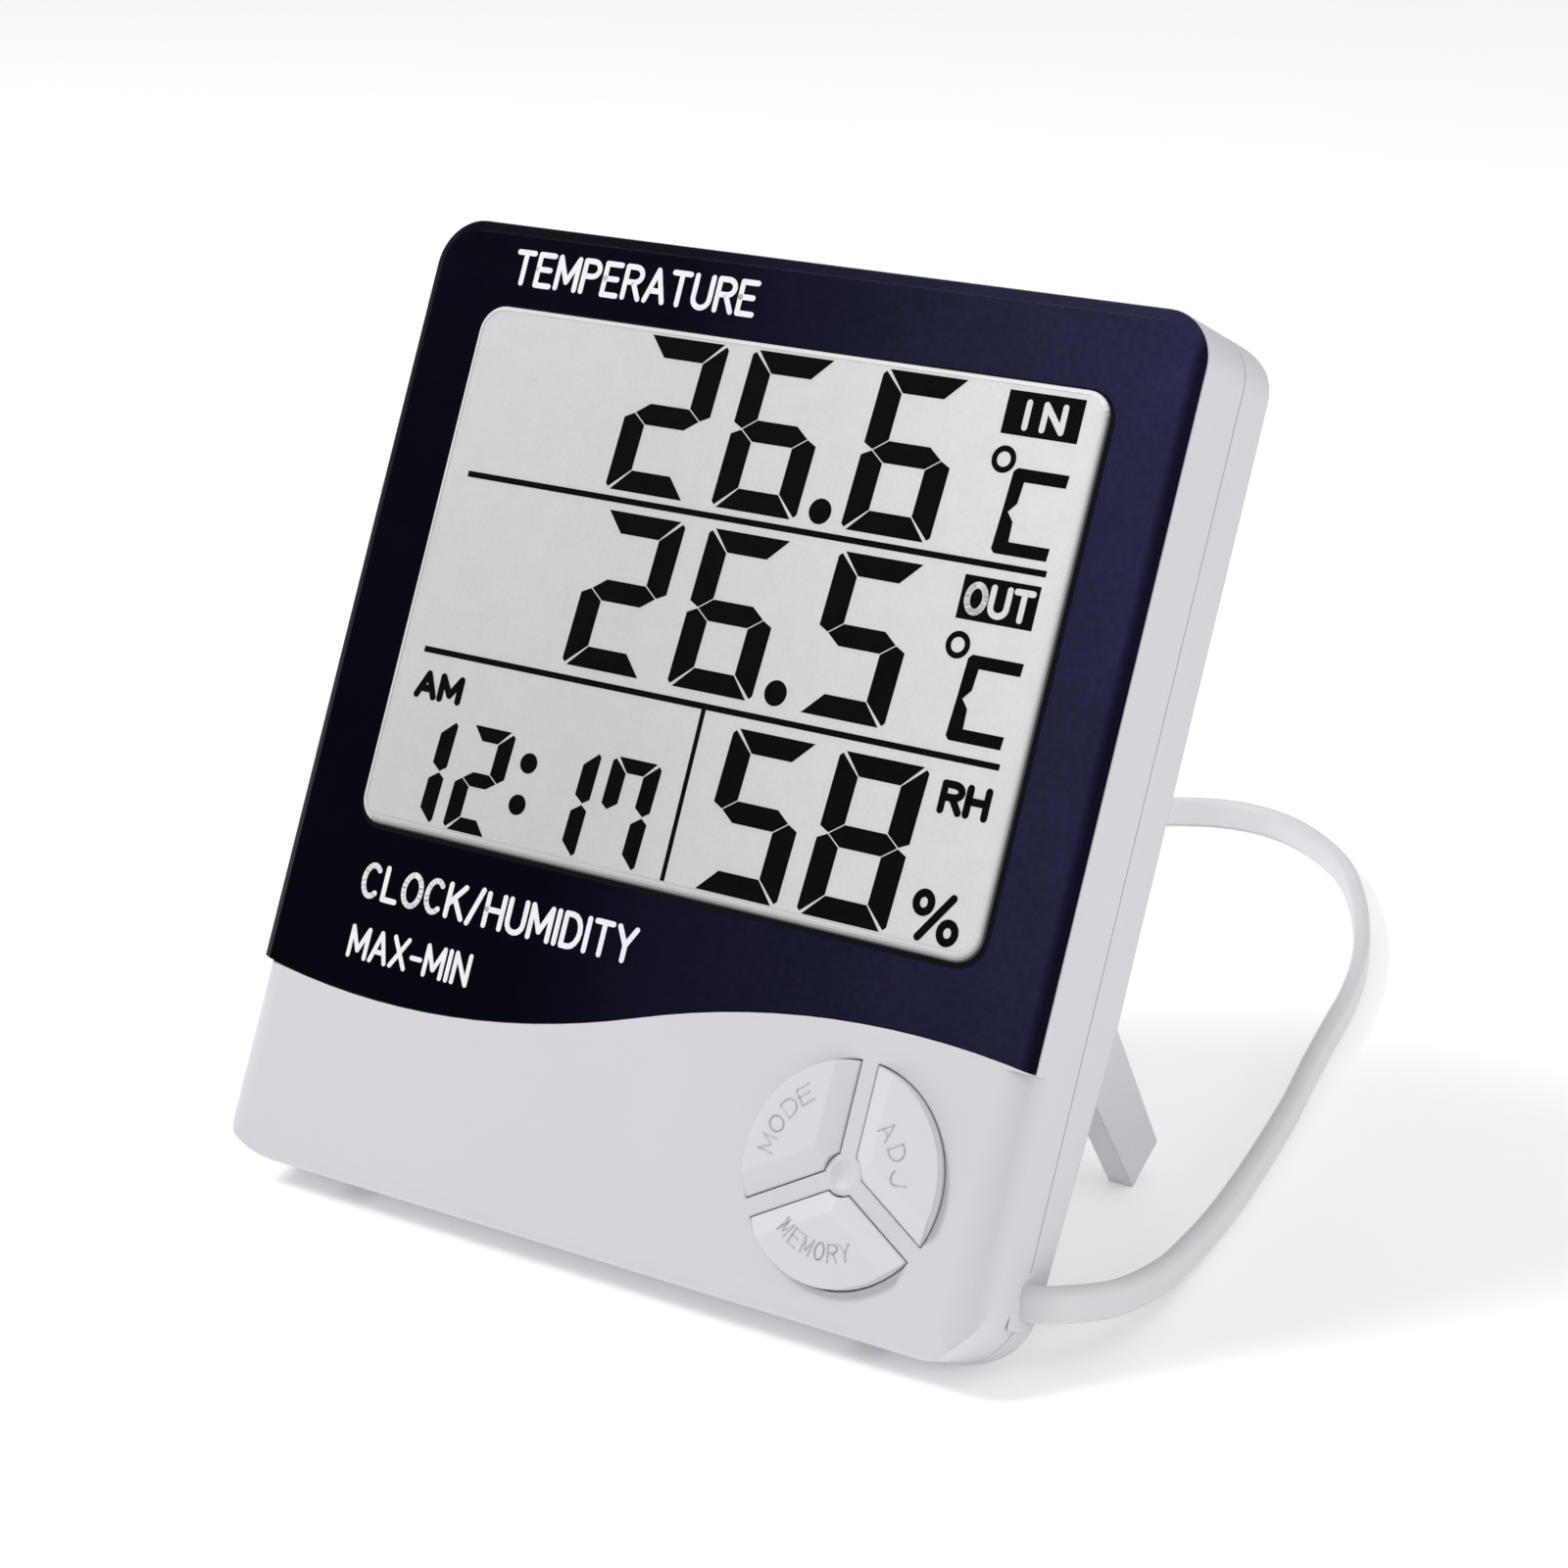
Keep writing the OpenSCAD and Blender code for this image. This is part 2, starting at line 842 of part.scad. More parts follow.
// Direction of a path at one of its points
function heading(path, i, start) = i == 0 ? start
    : i == len(path) - 1 ? unit(path[i] - path[i - 1])
    : unit(path[i + 1] - path[i - 1]);

// Carries a section along a path: its second axis stays nearest to up
module sweep(path, section, start, up) {
    n = len(section);
    last = len(path) - 1;
    rings = [for (i = [0:last])
        let (t = heading(path, i, start), side = unit(cross(up, t)),
            rise = cross(t, side))
        for (p = section) path[i] + p[0] * side + p[1] * rise];
    walls = [for (i = [0:last - 1], j = [0:n - 1])
        let (k = (j + 1) % n)
        for (face = [[i * n + j, (i + 1) * n + j, i * n + k],
            [i * n + k, (i + 1) * n + j, (i + 1) * n + k]])
        face];
    first_cap = [for (j = [0:n - 1]) j];
    last_cap = [for (j = [n - 1:-1:0]) last * n + j];
    polyhedron(points = rings, faces = concat(walls, [first_cap],
        [last_cap]));
}

// Section of the flat lead, standing on its edge
function lead_section() = let (a = lead_t / 2, b = lead_w / 2)
    [[a, -b * 0.68], [a, b * 0.68], [a * 0.5, b], [-a * 0.5, b],
    [-a, b * 0.68], [-a, -b * 0.68], [-a * 0.5, -b], [a * 0.5, -b]];

module cord_clamp() {
    color("white") lean()
        box(half_w - 8, half_w - 3.4, grommet_y - 1.5, grommet_y + 1.5,
            grommet_z - 2, grommet_z + 2);
}

module cord_grommet() {
    color("whitesmoke") lean()
        box(half_w - 2.9, half_w, grommet_y - 1.95, grommet_y + 1.95,
            grommet_z - 2.55, grommet_z + 2.55);
}

module sensor_cord() {
    color("lightgrey") desk()
        sweep(cord_route, lead_section(), [1, 0, 0], [0, 0, 1]);
}

module cord_coil() {
    color("lightgrey") desk()
        translate([coil_x, coil_y, coil_z])
            rotate_extrude()
                translate([coil_r0, 0])
                    square([coil_r1 - coil_r0, coil_h]);
}

// A strap round one side of the coil
module coil_tie() {
    color("white") desk()
        translate([coil_x, coil_y, 0]) rotate(tie_turn) difference() {
            box(coil_r0 - 1.1, coil_r1 + 0.8, -2, 2, 0,
                coil_z + coil_h + 0.6);
            box(coil_r0 - 0.4, coil_r1 + 0.15, -3, 3, coil_z - 0.05,
                coil_z + coil_h + 0.05);
        }
}

module cord_tail() {
    color("lightgrey") desk()
        sweep(tail_route, lead_section(), [1, 0, 0], [0, 0, 1]);
}

module probe_sleeve() {
    color("white") desk()
        translate([probe_x0, probe_y, sleeve_r])
            rotate([0, 90, 0])
                rotate_extrude()
                    polygon([[0, 0], [sleeve_r - 0.8, 0],
                        [sleeve_r, 1.2], [sleeve_r, sleeve_l - 0.8],
                        [sleeve_r - 0.8, sleeve_l], [0, sleeve_l]]);
}

module probe_tip() {
    color("silver") desk()
        translate([probe_x0 + sleeve_l, probe_y, sleeve_r])
            rotate([0, 90, 0]) {
                cylinder(r = tip_r, h = tip_l - tip_r);
                translate([0, 0, tip_l - tip_r])
                    sphere(r = tip_r);
            }
}

front_shell();
rear_shell();
front_panel();
window_lens();
lcd_front_glass();
lcd_rear_glass();
lcd_reflector();
lcd_frame();
zebra_strip();
main_board();
chip_blob();
crystal_can();
buzzer();
humidity_sensor();
room_thermistor();
key_board();
keypad_mat();
mode_button();
adj_button();
memory_button();
unit_button();
reset_button();
rear_switches();
battery();
contact_plate();
contact_spring();
battery_door();
case_screws();
stand();
hinge_pins();
cord_clamp();
cord_grommet();
sensor_cord();
cord_coil();
coil_tie();
cord_tail();
probe_sleeve();
probe_tip();
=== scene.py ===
"""Looks of the maximum and minimum thermometer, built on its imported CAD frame."""
import json
import math

import bmesh
import bpy
from mathutils import Matrix, Vector


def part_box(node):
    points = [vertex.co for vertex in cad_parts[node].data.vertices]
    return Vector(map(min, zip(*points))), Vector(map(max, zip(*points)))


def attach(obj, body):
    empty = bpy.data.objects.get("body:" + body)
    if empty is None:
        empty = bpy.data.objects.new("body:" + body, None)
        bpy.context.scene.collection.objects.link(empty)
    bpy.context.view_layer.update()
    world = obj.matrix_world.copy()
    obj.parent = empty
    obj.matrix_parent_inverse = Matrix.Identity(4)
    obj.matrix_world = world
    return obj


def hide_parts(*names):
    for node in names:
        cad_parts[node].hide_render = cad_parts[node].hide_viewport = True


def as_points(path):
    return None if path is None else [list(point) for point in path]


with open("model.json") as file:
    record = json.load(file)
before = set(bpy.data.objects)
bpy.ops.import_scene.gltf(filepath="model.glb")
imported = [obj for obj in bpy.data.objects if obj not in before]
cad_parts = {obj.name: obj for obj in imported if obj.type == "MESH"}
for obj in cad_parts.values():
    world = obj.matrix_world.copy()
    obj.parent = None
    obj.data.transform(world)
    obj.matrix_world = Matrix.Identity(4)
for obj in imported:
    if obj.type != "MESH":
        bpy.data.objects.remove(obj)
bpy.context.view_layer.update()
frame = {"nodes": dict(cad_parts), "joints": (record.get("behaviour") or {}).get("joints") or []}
MM = 0.001


# ---- the case frame and the desk ----------------------------------------

def joint(name):
    return next(j for j in frame["joints"] if j["name"] == name)


# The case leans back: its own axes come from a key's travel and the stand's pivot.
BACK = Vector(joint("memory_key_press")["axis"])
UP = Vector((0, -BACK.z, BACK.y))
PIVOT_Y, PIVOT_Z = 13.2, 52.5
CASE_AXES = Matrix(((1, BACK.x, UP.x), (0, BACK.y, UP.y), (0, BACK.z, UP.z)))
CASE_ORIGIN = (Vector(joint("stand_hinge")["pos_m"])
               - CASE_AXES @ Vector((0, PIVOT_Y, PIVOT_Z)) * MM)


def case(x, y, z):
    """A point of the case, in millimetres across, back and up, in the row frame."""
    return CASE_AXES @ Vector((x, y, z)) * MM + CASE_ORIGIN


# Desk measurements are taken from under the front edge of the case.
COIL_X, COIL_Y = -72, 118
COIL_LOW, COIL_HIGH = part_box("cord_coil")
DESK_SHIFT = (COIL_LOW.y + COIL_HIGH.y) / 2 - COIL_Y * MM


def desk(x, y, z):
    return Vector((x * MM, y * MM + DESK_SHIFT, z * MM))


# ---- camera ---------------------------------------------------------------

CAMERA_PLACE = (0.23196, -0.32331, 0.17774)
CAMERA_TURN = math.radians(34.936)
CAMERA_DROP = math.radians(18.17)
LENS_MM, SENSOR_MM = 90, 36
NEAR_CLIP = 0.01


def add_camera():
    data = bpy.data.cameras.new("view")
    data.lens = LENS_MM
    data.sensor_width = SENSOR_MM
    data.clip_start = NEAR_CLIP
    camera = bpy.data.objects.new("view", data)
    bpy.context.scene.collection.objects.link(camera)
    ahead = Vector((-math.sin(CAMERA_TURN) * math.cos(CAMERA_DROP),
                    math.cos(CAMERA_TURN) * math.cos(CAMERA_DROP),
                    -math.sin(CAMERA_DROP)))
    camera.location = CAMERA_PLACE
    camera.rotation_euler = ahead.to_track_quat("-Z", "Y").to_euler()
    bpy.context.scene.camera = camera


# ---- materials --------------------------------------------------------------

def linear(*levels):
    """An sRGB colour given as 0-255 levels, as linear values."""
    out = []
    for level in levels:
        v = level / 255
        out.append(v / 12.92 if v <= 0.04045 else ((v + 0.055) / 1.055) ** 2.4)
    return tuple(out)


def new_node(tree, kind, **values):
    node = tree.nodes.new(kind)
    for key, value in values.items():
        if key in node.inputs:
            node.inputs[key].default_value = value
        else:
            setattr(node, key, value)
    return node


def remap(tree, source, low, high, start=0.3, end=0.7):
    """A texture value from start to end, spread over low to high."""
    node = new_node(tree, "ShaderNodeMapRange")
    node.inputs["From Min"].default_value = start
    node.inputs["From Max"].default_value = end
    node.inputs["To Min"].default_value = low
    node.inputs["To Max"].default_value = high
    tree.links.new(source, node.inputs["Value"])
    return node.outputs["Result"]


def noise(tree, coord, size_mm, detail=4.0, rough=0.55):
    node = new_node(tree, "ShaderNodeTexNoise", Scale=1 / (size_mm * MM),
                    Detail=detail, Roughness=rough)
    tree.links.new(coord, node.inputs["Vector"])
    return node.outputs["Fac"]


def product(tree, a, b):
    node = new_node(tree, "ShaderNodeMath", operation="MULTIPLY")
    tree.links.new(a, node.inputs[0])
    tree.links.new(b, node.inputs[1])
    return node.outputs[0]


# A wave texture of this scale repeats once in one unit
WAVE_SCALE = 0.314


class Surface:
    """A procedural surface: cloudy colour, uneven gloss, fine relief and soft edges."""

    def __init__(self, name, colour, rough, cloud=0.03, cloud_mm=12, gloss=0.05, gloss_mm=3,
                 grain=0.15, grain_mm=0.3, edge_mm=0.2, **sockets):
        self.material = bpy.data.materials.new(name)
        self.material.use_nodes = True
        self.tree = tree = self.material.node_tree
        tree.nodes.clear()
        self.out = new_node(tree, "ShaderNodeOutputMaterial")
        self.shader = new_node(tree, "ShaderNodeBsdfPrincipled")
        tree.links.new(self.shader.outputs[0], self.out.inputs["Surface"])
        for key, value in sockets.items():
            self.shader.inputs[key.replace("_", " ")].default_value = value
        self.coord = new_node(tree, "ShaderNodeTexCoord").outputs["Object"]
        self.shade = remap(tree, noise(tree, self.coord, cloud_mm), 1 - cloud, 1 + cloud)
        self.tint = new_node(tree, "ShaderNodeVectorMath", operation="SCALE")
        self.tint.inputs[0].default_value = colour[:3]
        tree.links.new(self.shade, self.tint.inputs["Scale"])
        tree.links.new(self.tint.outputs[0], self.shader.inputs["Base Color"])
        level = remap(tree, noise(tree, self.coord, gloss_mm), rough - gloss, rough + gloss)
        tree.links.new(level, self.shader.inputs["Roughness"])
        self.height = noise(tree, self.coord, grain_mm, 3.0)
        self.bump = new_node(tree, "ShaderNodeBump", Strength=grain)
        self.bump.inputs["Distance"].default_value = grain_mm * MM * 0.25
        tree.links.new(self.height, self.bump.inputs["Height"])
        if edge_mm:
            soft = new_node(tree, "ShaderNodeBevel", samples=6)
            soft.inputs["Radius"].default_value = edge_mm * MM
            tree.links.new(soft.outputs[0], self.bump.inputs["Normal"])
        tree.links.new(self.bump.outputs[0], self.shader.inputs["Normal"])

    def multiply(self, value):
        """Darkens or lightens the colour by a texture value."""
        self.shade = product(self.tree, self.shade, value)
        self.tree.links.new(self.shade, self.tint.inputs["Scale"])
        return self

    def specks(self, size_mm, dark, share=0.12):
        """Small dark specks, as dust leaves in pale plastic."""
        cells = new_node(self.tree, "ShaderNodeTexVoronoi", Scale=1 / (size_mm * MM))
        self.tree.links.new(self.coord, cells.inputs["Vector"])
        return self.multiply(remap(self.tree, cells.outputs["Distance"], dark, 1,
                                   share * 0.5, share))

    def bands(self, size_mm, low, high, axis="X", soft=0.2):
        """Light and dark bands across one axis."""
        wave = new_node(self.tree, "ShaderNodeTexWave", bands_direction=axis,
                        Scale=WAVE_SCALE / (size_mm * MM))
        self.tree.links.new(self.coord, wave.inputs["Vector"])
        return self.multiply(remap(self.tree, wave.outputs["Fac"], low, high,
                                   0.5 - soft, 0.5 + soft))

    def slope(self, axis, start_mm, end_mm, low, high):
        """A change of shade along one axis, between two places on it."""
        parts = new_node(self.tree, "ShaderNodeSeparateXYZ")
        self.tree.links.new(self.coord, parts.inputs[0])
        return self.multiply(remap(self.tree, parts.outputs[axis], low, high,
                                   start_mm * MM, end_mm * MM))


WHITE = linear(213, 210, 217)
KEY_WHITE = linear(218, 215, 222)
LEAD_GREY = linear(216, 215, 219)
NAVY = linear(33, 33, 58)
DISPLAY = linear(218, 218, 218)


def case_plastic(name="white_case", edge_mm=0.35):
    s = Surface(name, WHITE, 0.42, cloud=0.012, cloud_mm=18, grain=0.22, grain_mm=0.42,
                edge_mm=edge_mm, Specular_IOR_Level=0.35)
    return s.specks(1.1, 0.965, 0.1).material


def key_plastic():
    s = Surface("white_key", KEY_WHITE, 0.36, cloud=0.01, grain=0.06, grain_mm=0.3,
                edge_mm=0.4, Specular_IOR_Level=0.4)
    return s.specks(1.6, 0.975, 0.08).material


# Painted shade: the panel darkens over this last stretch of X, at its right edge
PANEL_EDGE_SHADE = (47.3, 48.3)


# The light on the panel and display in the photo is painted in, by slopes of shade
def panel_navy_and_painted_light():
    s = Surface("dark_panel", NAVY, 0.22, cloud=0.1, cloud_mm=9, gloss=0.03, grain=0.03,
                grain_mm=0.8, edge_mm=0.25, Specular_IOR_Level=0.02)
    s.multiply(remap(s.tree, noise(s.tree, s.coord, 0.7, 3.0), 0.88, 1.12))
    s.slope("X", -14, 46, 0.15, 1.26)
    s.slope("X", *PANEL_EDGE_SHADE, 1.0, 0.3)
    return s.slope("Z", 22, 100, 0.72, 1.17).material


def display_grey_and_painted_light(name="display_grey_and_painted_light", shade=1.0):
    """The grey of the display, with painted light across it, or its darker painted shade at the
    window's rim.
    """
    s = Surface(name, tuple(shade * level for level in DISPLAY), 0.5, cloud=0.018,
                cloud_mm=3.2, grain=0.12, grain_mm=0.35, edge_mm=0, Specular_IOR_Level=0.2)
    s.multiply(remap(s.tree, noise(s.tree, s.coord, 0.4, 2.0), 0.98, 1.02))
    # Painted light: the grey gets lighter to the right and towards the top
    s.slope("X", -10, 42, 0.93, 1.14)
    return s.slope("Z", 38, 96, 0.94, 1.05).material


def window_clear():
    """Clear plastic: it shows the display, and mirrors a little of the room."""
    material = bpy.data.materials.new("window_clear")
    material.use_nodes = True
    tree = material.node_tree
    tree.nodes.clear()
    out = new_node(tree, "ShaderNodeOutputMaterial")
    see = new_node(tree, "ShaderNodeBsdfTransparent")
    see.inputs["Color"].default_value = (0.99, 0.99, 0.99, 1)
    shine = new_node(tree, "ShaderNodeBsdfGlossy")
    coord = new_node(tree, "ShaderNodeTexCoord").outputs["Object"]
    tree.links.new(remap(tree, noise(tree, coord, 4), 0.06, 0.12), shine.inputs["Roughness"])
    fresnel = new_node(tree, "ShaderNodeFresnel", IOR=1.08)
    mix = new_node(tree, "ShaderNodeMixShader")
    tree.links.new(fresnel.outputs[0], mix.inputs[0])
    tree.links.new(see.outputs[0], mix.inputs[1])
    tree.links.new(shine.outputs[0], mix.inputs[2])
    tree.links.new(mix.outputs[0], out.inputs["Surface"])
    return material


def segment_black():
    return Surface("segment_black", linear(11, 11, 12), 0.5, cloud=0.2, cloud_mm=2, grain=0.05,
                   edge_mm=0, Specular_IOR_Level=0.02).material


def legend_white():
    return Surface("legend_white", linear(236, 236, 242), 0.5, cloud=0.03, cloud_mm=1.2,
                   grain=0.3, grain_mm=0.12, edge_mm=0, Specular_IOR_Level=0.3).material


def board_green():
    s = Surface("board_green", (0.018, 0.12, 0.045), 0.35, cloud=0.1, grain=0.1, edge_mm=0.05)
    s.bands(1.3, 0.75, 1.25, "X", 0.08)
    return s.bands(4.1, 0.85, 1.1, "Z", 0.05).material


def plated_metal(name="plated_metal", colour=(0.62, 0.62, 0.6)):
    s = Surface(name, colour, 0.26, cloud=0.06, cloud_mm=1.5, grain=0.12, grain_mm=0.12,
                edge_mm=0.08, Metallic=1.0)
    return s.bands(0.22, 0.93, 1.05, "Y", 0.4).material


def matt(name, colour, rough=0.6, **more):
    return Surface(name, colour, rough, **more).material


# Where the cell's dark half meets its gold half
JACKET_EDGE = (4, 5)


def cell_jacket():
    s = Surface("cell_jacket", (0.5, 0.3, 0.06), 0.3, cloud=0.05, grain=0.04, edge_mm=0.1,
                Coat_Weight=0.5)
    return s.slope("X", *JACKET_EDGE, 0.06, 1).material


def lead_jacket():
    s = Surface("lead_jacket", LEAD_GREY, 0.44, cloud=0.02, cloud_mm=6, grain=0.1,
                grain_mm=0.5, edge_mm=0, Specular_IOR_Level=0.4, Subsurface_Weight=0.08)
    s.shader.inputs["Subsurface Radius"].default_value = (0.0012, 0.0011, 0.001)
    return s.specks(2.3, 0.96, 0.08).material


def sensor_blue():
    s = Surface("sensor_blue", (0.05, 0.16, 0.5), 0.45, cloud=0.05, grain=0.1, edge_mm=0.15)
    return s.bands(1.6, 0.3, 1.05, "Z", 0.06).material


def elastomer_stripes():
    s = Surface("elastomer_stripes", (0.12, 0.12, 0.12), 0.7, cloud=0.05, edge_mm=0)
    return s.bands(0.3, 0.3, 1.4, "X", 0.1).material


def finish_nodes():
    """Gives each carried-over CAD node its finish."""
    white, key, metal = case_plastic(), key_plastic(), plated_metal()
    green, resin = board_green(), matt("black_resin", (0.02, 0.02, 0.021), 0.55, cloud=0.15)
    inner = matt("white_inner", (0.72, 0.72, 0.72), 0.55, cloud=0.03, edge_mm=0.15)
    shown = {
        "front_shell": white, "rear_shell": white, "battery_door": white, "stand": white,
        "front_panel": panel_navy_and_painted_light(),
        "lcd_front_glass": matt("front_glass", (0.68, 0.7, 0.68), 0.15, cloud=0.02),
        "lcd_rear_glass": matt("rear_glass", (0.66, 0.68, 0.66), 0.2, cloud=0.02),
        "lcd_reflector": matt("reflector_film", (0.7, 0.7, 0.69), 0.38, cloud=0.03),
        "lcd_frame": inner, "cord_clamp": inner, "zebra_strip": elastomer_stripes(),
        "main_board": green, "key_board": green, "chip_blob": resin, "buzzer": resin,
        "rear_switches": resin, "crystal_can": metal, "contact_plate": metal,
        "contact_spring": metal, "case_screws": metal, "hinge_pins": metal,
        "humidity_sensor": sensor_blue(),
        "room_thermistor": matt("resin_bead", (0.5, 0.2, 0.03), 0.3, Coat_Weight=0.4),
        "keypad_mat": matt("key_rubber", (0.42, 0.42, 0.43), 0.6, cloud=0.04),
        "mode_button": key, "adj_button": key, "memory_button": key, "unit_button": key,
        "reset_button": key, "battery": cell_jacket(),
    }
    for name, material in shown.items():
        node = frame["nodes"][name]
        if not node.material_slots:
            node.data.materials.append(material)
        for slot in node.material_slots:
            slot.material = material
    return key


# ---- mesh helpers -----------------------------------------------------------

def add_piece(name, points, faces, materials, body="case", smooth=False, face_material=None):
    """A new piece that rides on a body; face_material gives each face's material by number."""
    mesh = bpy.data.meshes.new(name)
    mesh.from_pydata([tuple(p) for p in points], [], faces)
    piece = bpy.data.objects.new(name, mesh)
    bpy.context.scene.collection.objects.link(piece)
    for material in materials:
        mesh.materials.append(material)
    work = bmesh.new()
    work.from_mesh(mesh)
    if face_material:
        for face, index in zip(work.faces, face_material):
            face.material_index = index
    bmesh.ops.recalc_face_normals(work, faces=work.faces)
    for face in work.faces:
        face.smooth = smooth
    work.to_mesh(mesh)
    work.free()
    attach(piece, body)
    return piece


def soften(piece, width_mm, segments=2, angle=35):
    """Rounds the edges that are sharper than the angle."""
    bevel = piece.modifiers.new("soft edges", "BEVEL")
    bevel.width = width_mm * MM
    bevel.segments = segments
    bevel.limit_method = "ANGLE"
    bevel.angle_limit = math.radians(angle)


# Overlapping strokes lie this far apart in depth, on this many levels in turn
STROKE_STEP, STROKE_LEVELS = 0.006, 7


def prisms(outlines, y0, y1, place=case, step=0.0):
    """Points and faces of flat outlines in x and z, given a thickness from y0 back to y1.
    With a step, outlines that overlap lie at slightly different levels."""
    points, faces = [], []
    for number, outline in enumerate(outlines):
        n, start = len(outline), len(points)
        front = y0 - step * (number % STROKE_LEVELS)
        points += [place(x, front, z) for x, z in outline]
        points += [place(x, y1, z) for x, z in outline]
        faces.append([start + i for i in range(n)])
        faces.append([start + n + i for i in reversed(range(n))])
        faces += [[start + i, start + (i + 1) % n, start + n + (i + 1) % n, start + n + i]
                  for i in range(n)]
    return points, faces


def smooth_path(points, steps):
    """A curve through all the points, with even steps between each two."""
    out = []
    for i in range(len(points) - 1):
        a = points[max(i - 1, 0)]
        b, c = points[i], points[i + 1]
        d = points[min(i + 2, len(points) - 1)]
        for k in range(steps):
            t = k / steps
            out.append(0.5 * (2 * b + (c - a) * t + (2 * a - 5 * b + 4 * c - d) * t * t
                              + (3 * b - a - 3 * c + d) * t ** 3))
    return out + [points[-1]]


def tube(path, section, up):
    """Rings of a section carried along a path, with both ends closed."""
    points, faces = [], []
    n, last = len(section), len(path) - 1
    for i, place in enumerate(path):
        ahead = (path[min(i + 1, last)] - path[max(i - 1, 0)]).normalized()
        side = up.cross(ahead).normalized()
        rise = ahead.cross(side)
        points += [place + side * a * MM + rise * b * MM for a, b in section]
    for i in range(last):
        for j in range(n):
            k = (j + 1) % n
            faces.append([i * n + j, (i + 1) * n + j, (i + 1) * n + k, i * n + k])
    faces.append(list(reversed(range(n))))
    faces.append([last * n + j for j in range(n)])
    return points, faces


def lathe(profile, place, turns=48):
    """A profile of (distance along X, radius) turned round the X axis."""
    points, faces = [], []
    for along, radius in profile:
        for k in range(turns):
            angle = 2 * math.pi * k / turns
            points.append(place(along, radius * math.cos(angle), radius * math.sin(angle)))
    for i in range(len(profile) - 1):
        for k in range(turns):
            m = (k + 1) % turns
            faces.append([i * turns + k, i * turns + m, (i + 1) * turns + m,
                          (i + 1) * turns + k])
    faces.append(list(range(turns)))
    end = (len(profile) - 1) * turns
    faces.append([end + k for k in reversed(range(turns))])
    return points, faces


# ---- lead, coil, tie and probe -------------------------------------------------

HALF_CASE = 49.0
LEAD_W, LEAD_T = 4.0, 2.1
LEAD_INSIDE = 1.8
# The lead's first point outside: across, back from the exit, and up
LEAD_FIRST = (50.8, 1.1, 7.2)
VALLEY = 0.93
PATH_STEPS = 3
LEAD_ROUTE = [
    (52, 15.4, 6.7), (52.9, 18.6, 5.9), (53.4, 22.4, 5), (53.4, 28, 4.1), (52.7, 34, 3.2),
    (51.5, 40, 2.5), (49.8, 49, 2.1), (47.4, 60, 2.1), (44.6, 71, 2.1), (41.6, 82, 2.1),
    (38, 93.5, 2.1), (34.6, 105, 2.1), (31.4, 116, 2.1), (27.2, 127.5, 2.1),
    (22, 138.5, 2.1), (16, 149, 2.1), (8.5, 159.5, 2.1), (-0.5, 167.5, 2.1),
    (-9, 171.6, 2.1), (-17, 171.4, 2.1), (-24.5, 167, 2.1), (-32, 160, 2.1),
    (-41, 152.4, 2.1), (-51, 147, 2.3), (-62, 144.6, 2.6)]
TAIL_ROUTE = [(-64, 91.9, 6.2), (-56, 92.2, 4.8), (-48, 92.6, 3.3), (-40, 92.9, 3),
              (-32, 93, 3), (-30.5, 93, 3)]
COIL_OUTER, COIL_INNER = 26.2, 17.0
COIL_TURNS, COIL_PITCH = 4, 2.3
COIL_LOWER, COIL_UPPER = 2.7, 6.85
TURN_STEPS = 24
GROMMET_Y, GROMMET_Z = 9.5, 7.8


def coil_line():
    """Two layers of turns: inward below, a short climb, and outward above."""
    out = []
    quarter = TURN_STEPS // 4
    total = 2 * COIL_TURNS * TURN_STEPS + 2 * quarter
    inward = COIL_TURNS * TURN_STEPS
    for i in range(total + 1):
        if i <= inward:
            radius = COIL_OUTER - COIL_PITCH * i / TURN_STEPS
            height = COIL_LOWER
        elif i <= inward + quarter:
            part = (i - inward) / quarter
            radius = COIL_INNER
            height = COIL_LOWER + (COIL_UPPER - COIL_LOWER) * (3 - 2 * part) * part * part
        else:
            radius = min(COIL_INNER + COIL_PITCH * (i - inward - quarter) / TURN_STEPS,
                         COIL_OUTER)
            height = COIL_UPPER
        angle = math.pi / 2 + 2 * math.pi * i / TURN_STEPS
        out.append(desk(COIL_X + radius * math.cos(angle), COIL_Y + radius * math.sin(angle),
                        height))
    return out


def lead_section(steps=7):
    """Half round at both edges, with a faint valley between the two cores."""
    r = LEAD_T / 2
    flat = LEAD_W / 2 - r
    out = []
    for i in range(steps):
        angle = math.pi * i / (steps - 1)
        out.append((r * math.cos(angle), flat + r * math.sin(angle)))
    out.append((-r * VALLEY, 0))
    for i in range(steps):
        angle = math.pi + math.pi * i / (steps - 1)
        out.append((r * math.cos(angle), -flat + r * math.sin(angle)))
    out.append((r * VALLEY, 0))
    return out


def add_lead(jacket):
    """The whole lead, from inside the case to the probe, as one tube."""
    exit_point = case(HALF_CASE, GROMMET_Y, GROMMET_Z)
    inside = exit_point - Vector((LEAD_INSIDE * MM, 0, 0))
    across, back, up = LEAD_FIRST
    line = [inside, exit_point, Vector((across * MM, exit_point.y + back * MM, up * MM))]
    line += [desk(*p) for p in LEAD_ROUTE] + coil_line() + [desk(*p) for p in TAIL_ROUTE]
    path = smooth_path(line, PATH_STEPS)
    points, faces = tube(path, lead_section(), Vector((0, 0, 1)))
    lead = add_piece("sensor_lead", points, faces, [jacket], smooth=True)
    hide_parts("sensor_cord", "cord_coil", "cord_tail")
    length = sum((b - a).length for a, b in zip(path, path[1:]))
    return lead, path, exit_point, length


# The grommet's rings: distance along X, half its depth, half its height, corner radius
GROMMET_RINGS = ((HALF_CASE - 2.9, 1.95, 2.55, 0.3), (HALF_CASE, 1.95, 2.55, 0.3),
                 (HALF_CASE, 2.45, 3.0, 0.7), (HALF_CASE + 0.015, 2.37, 2.92, 0.65))


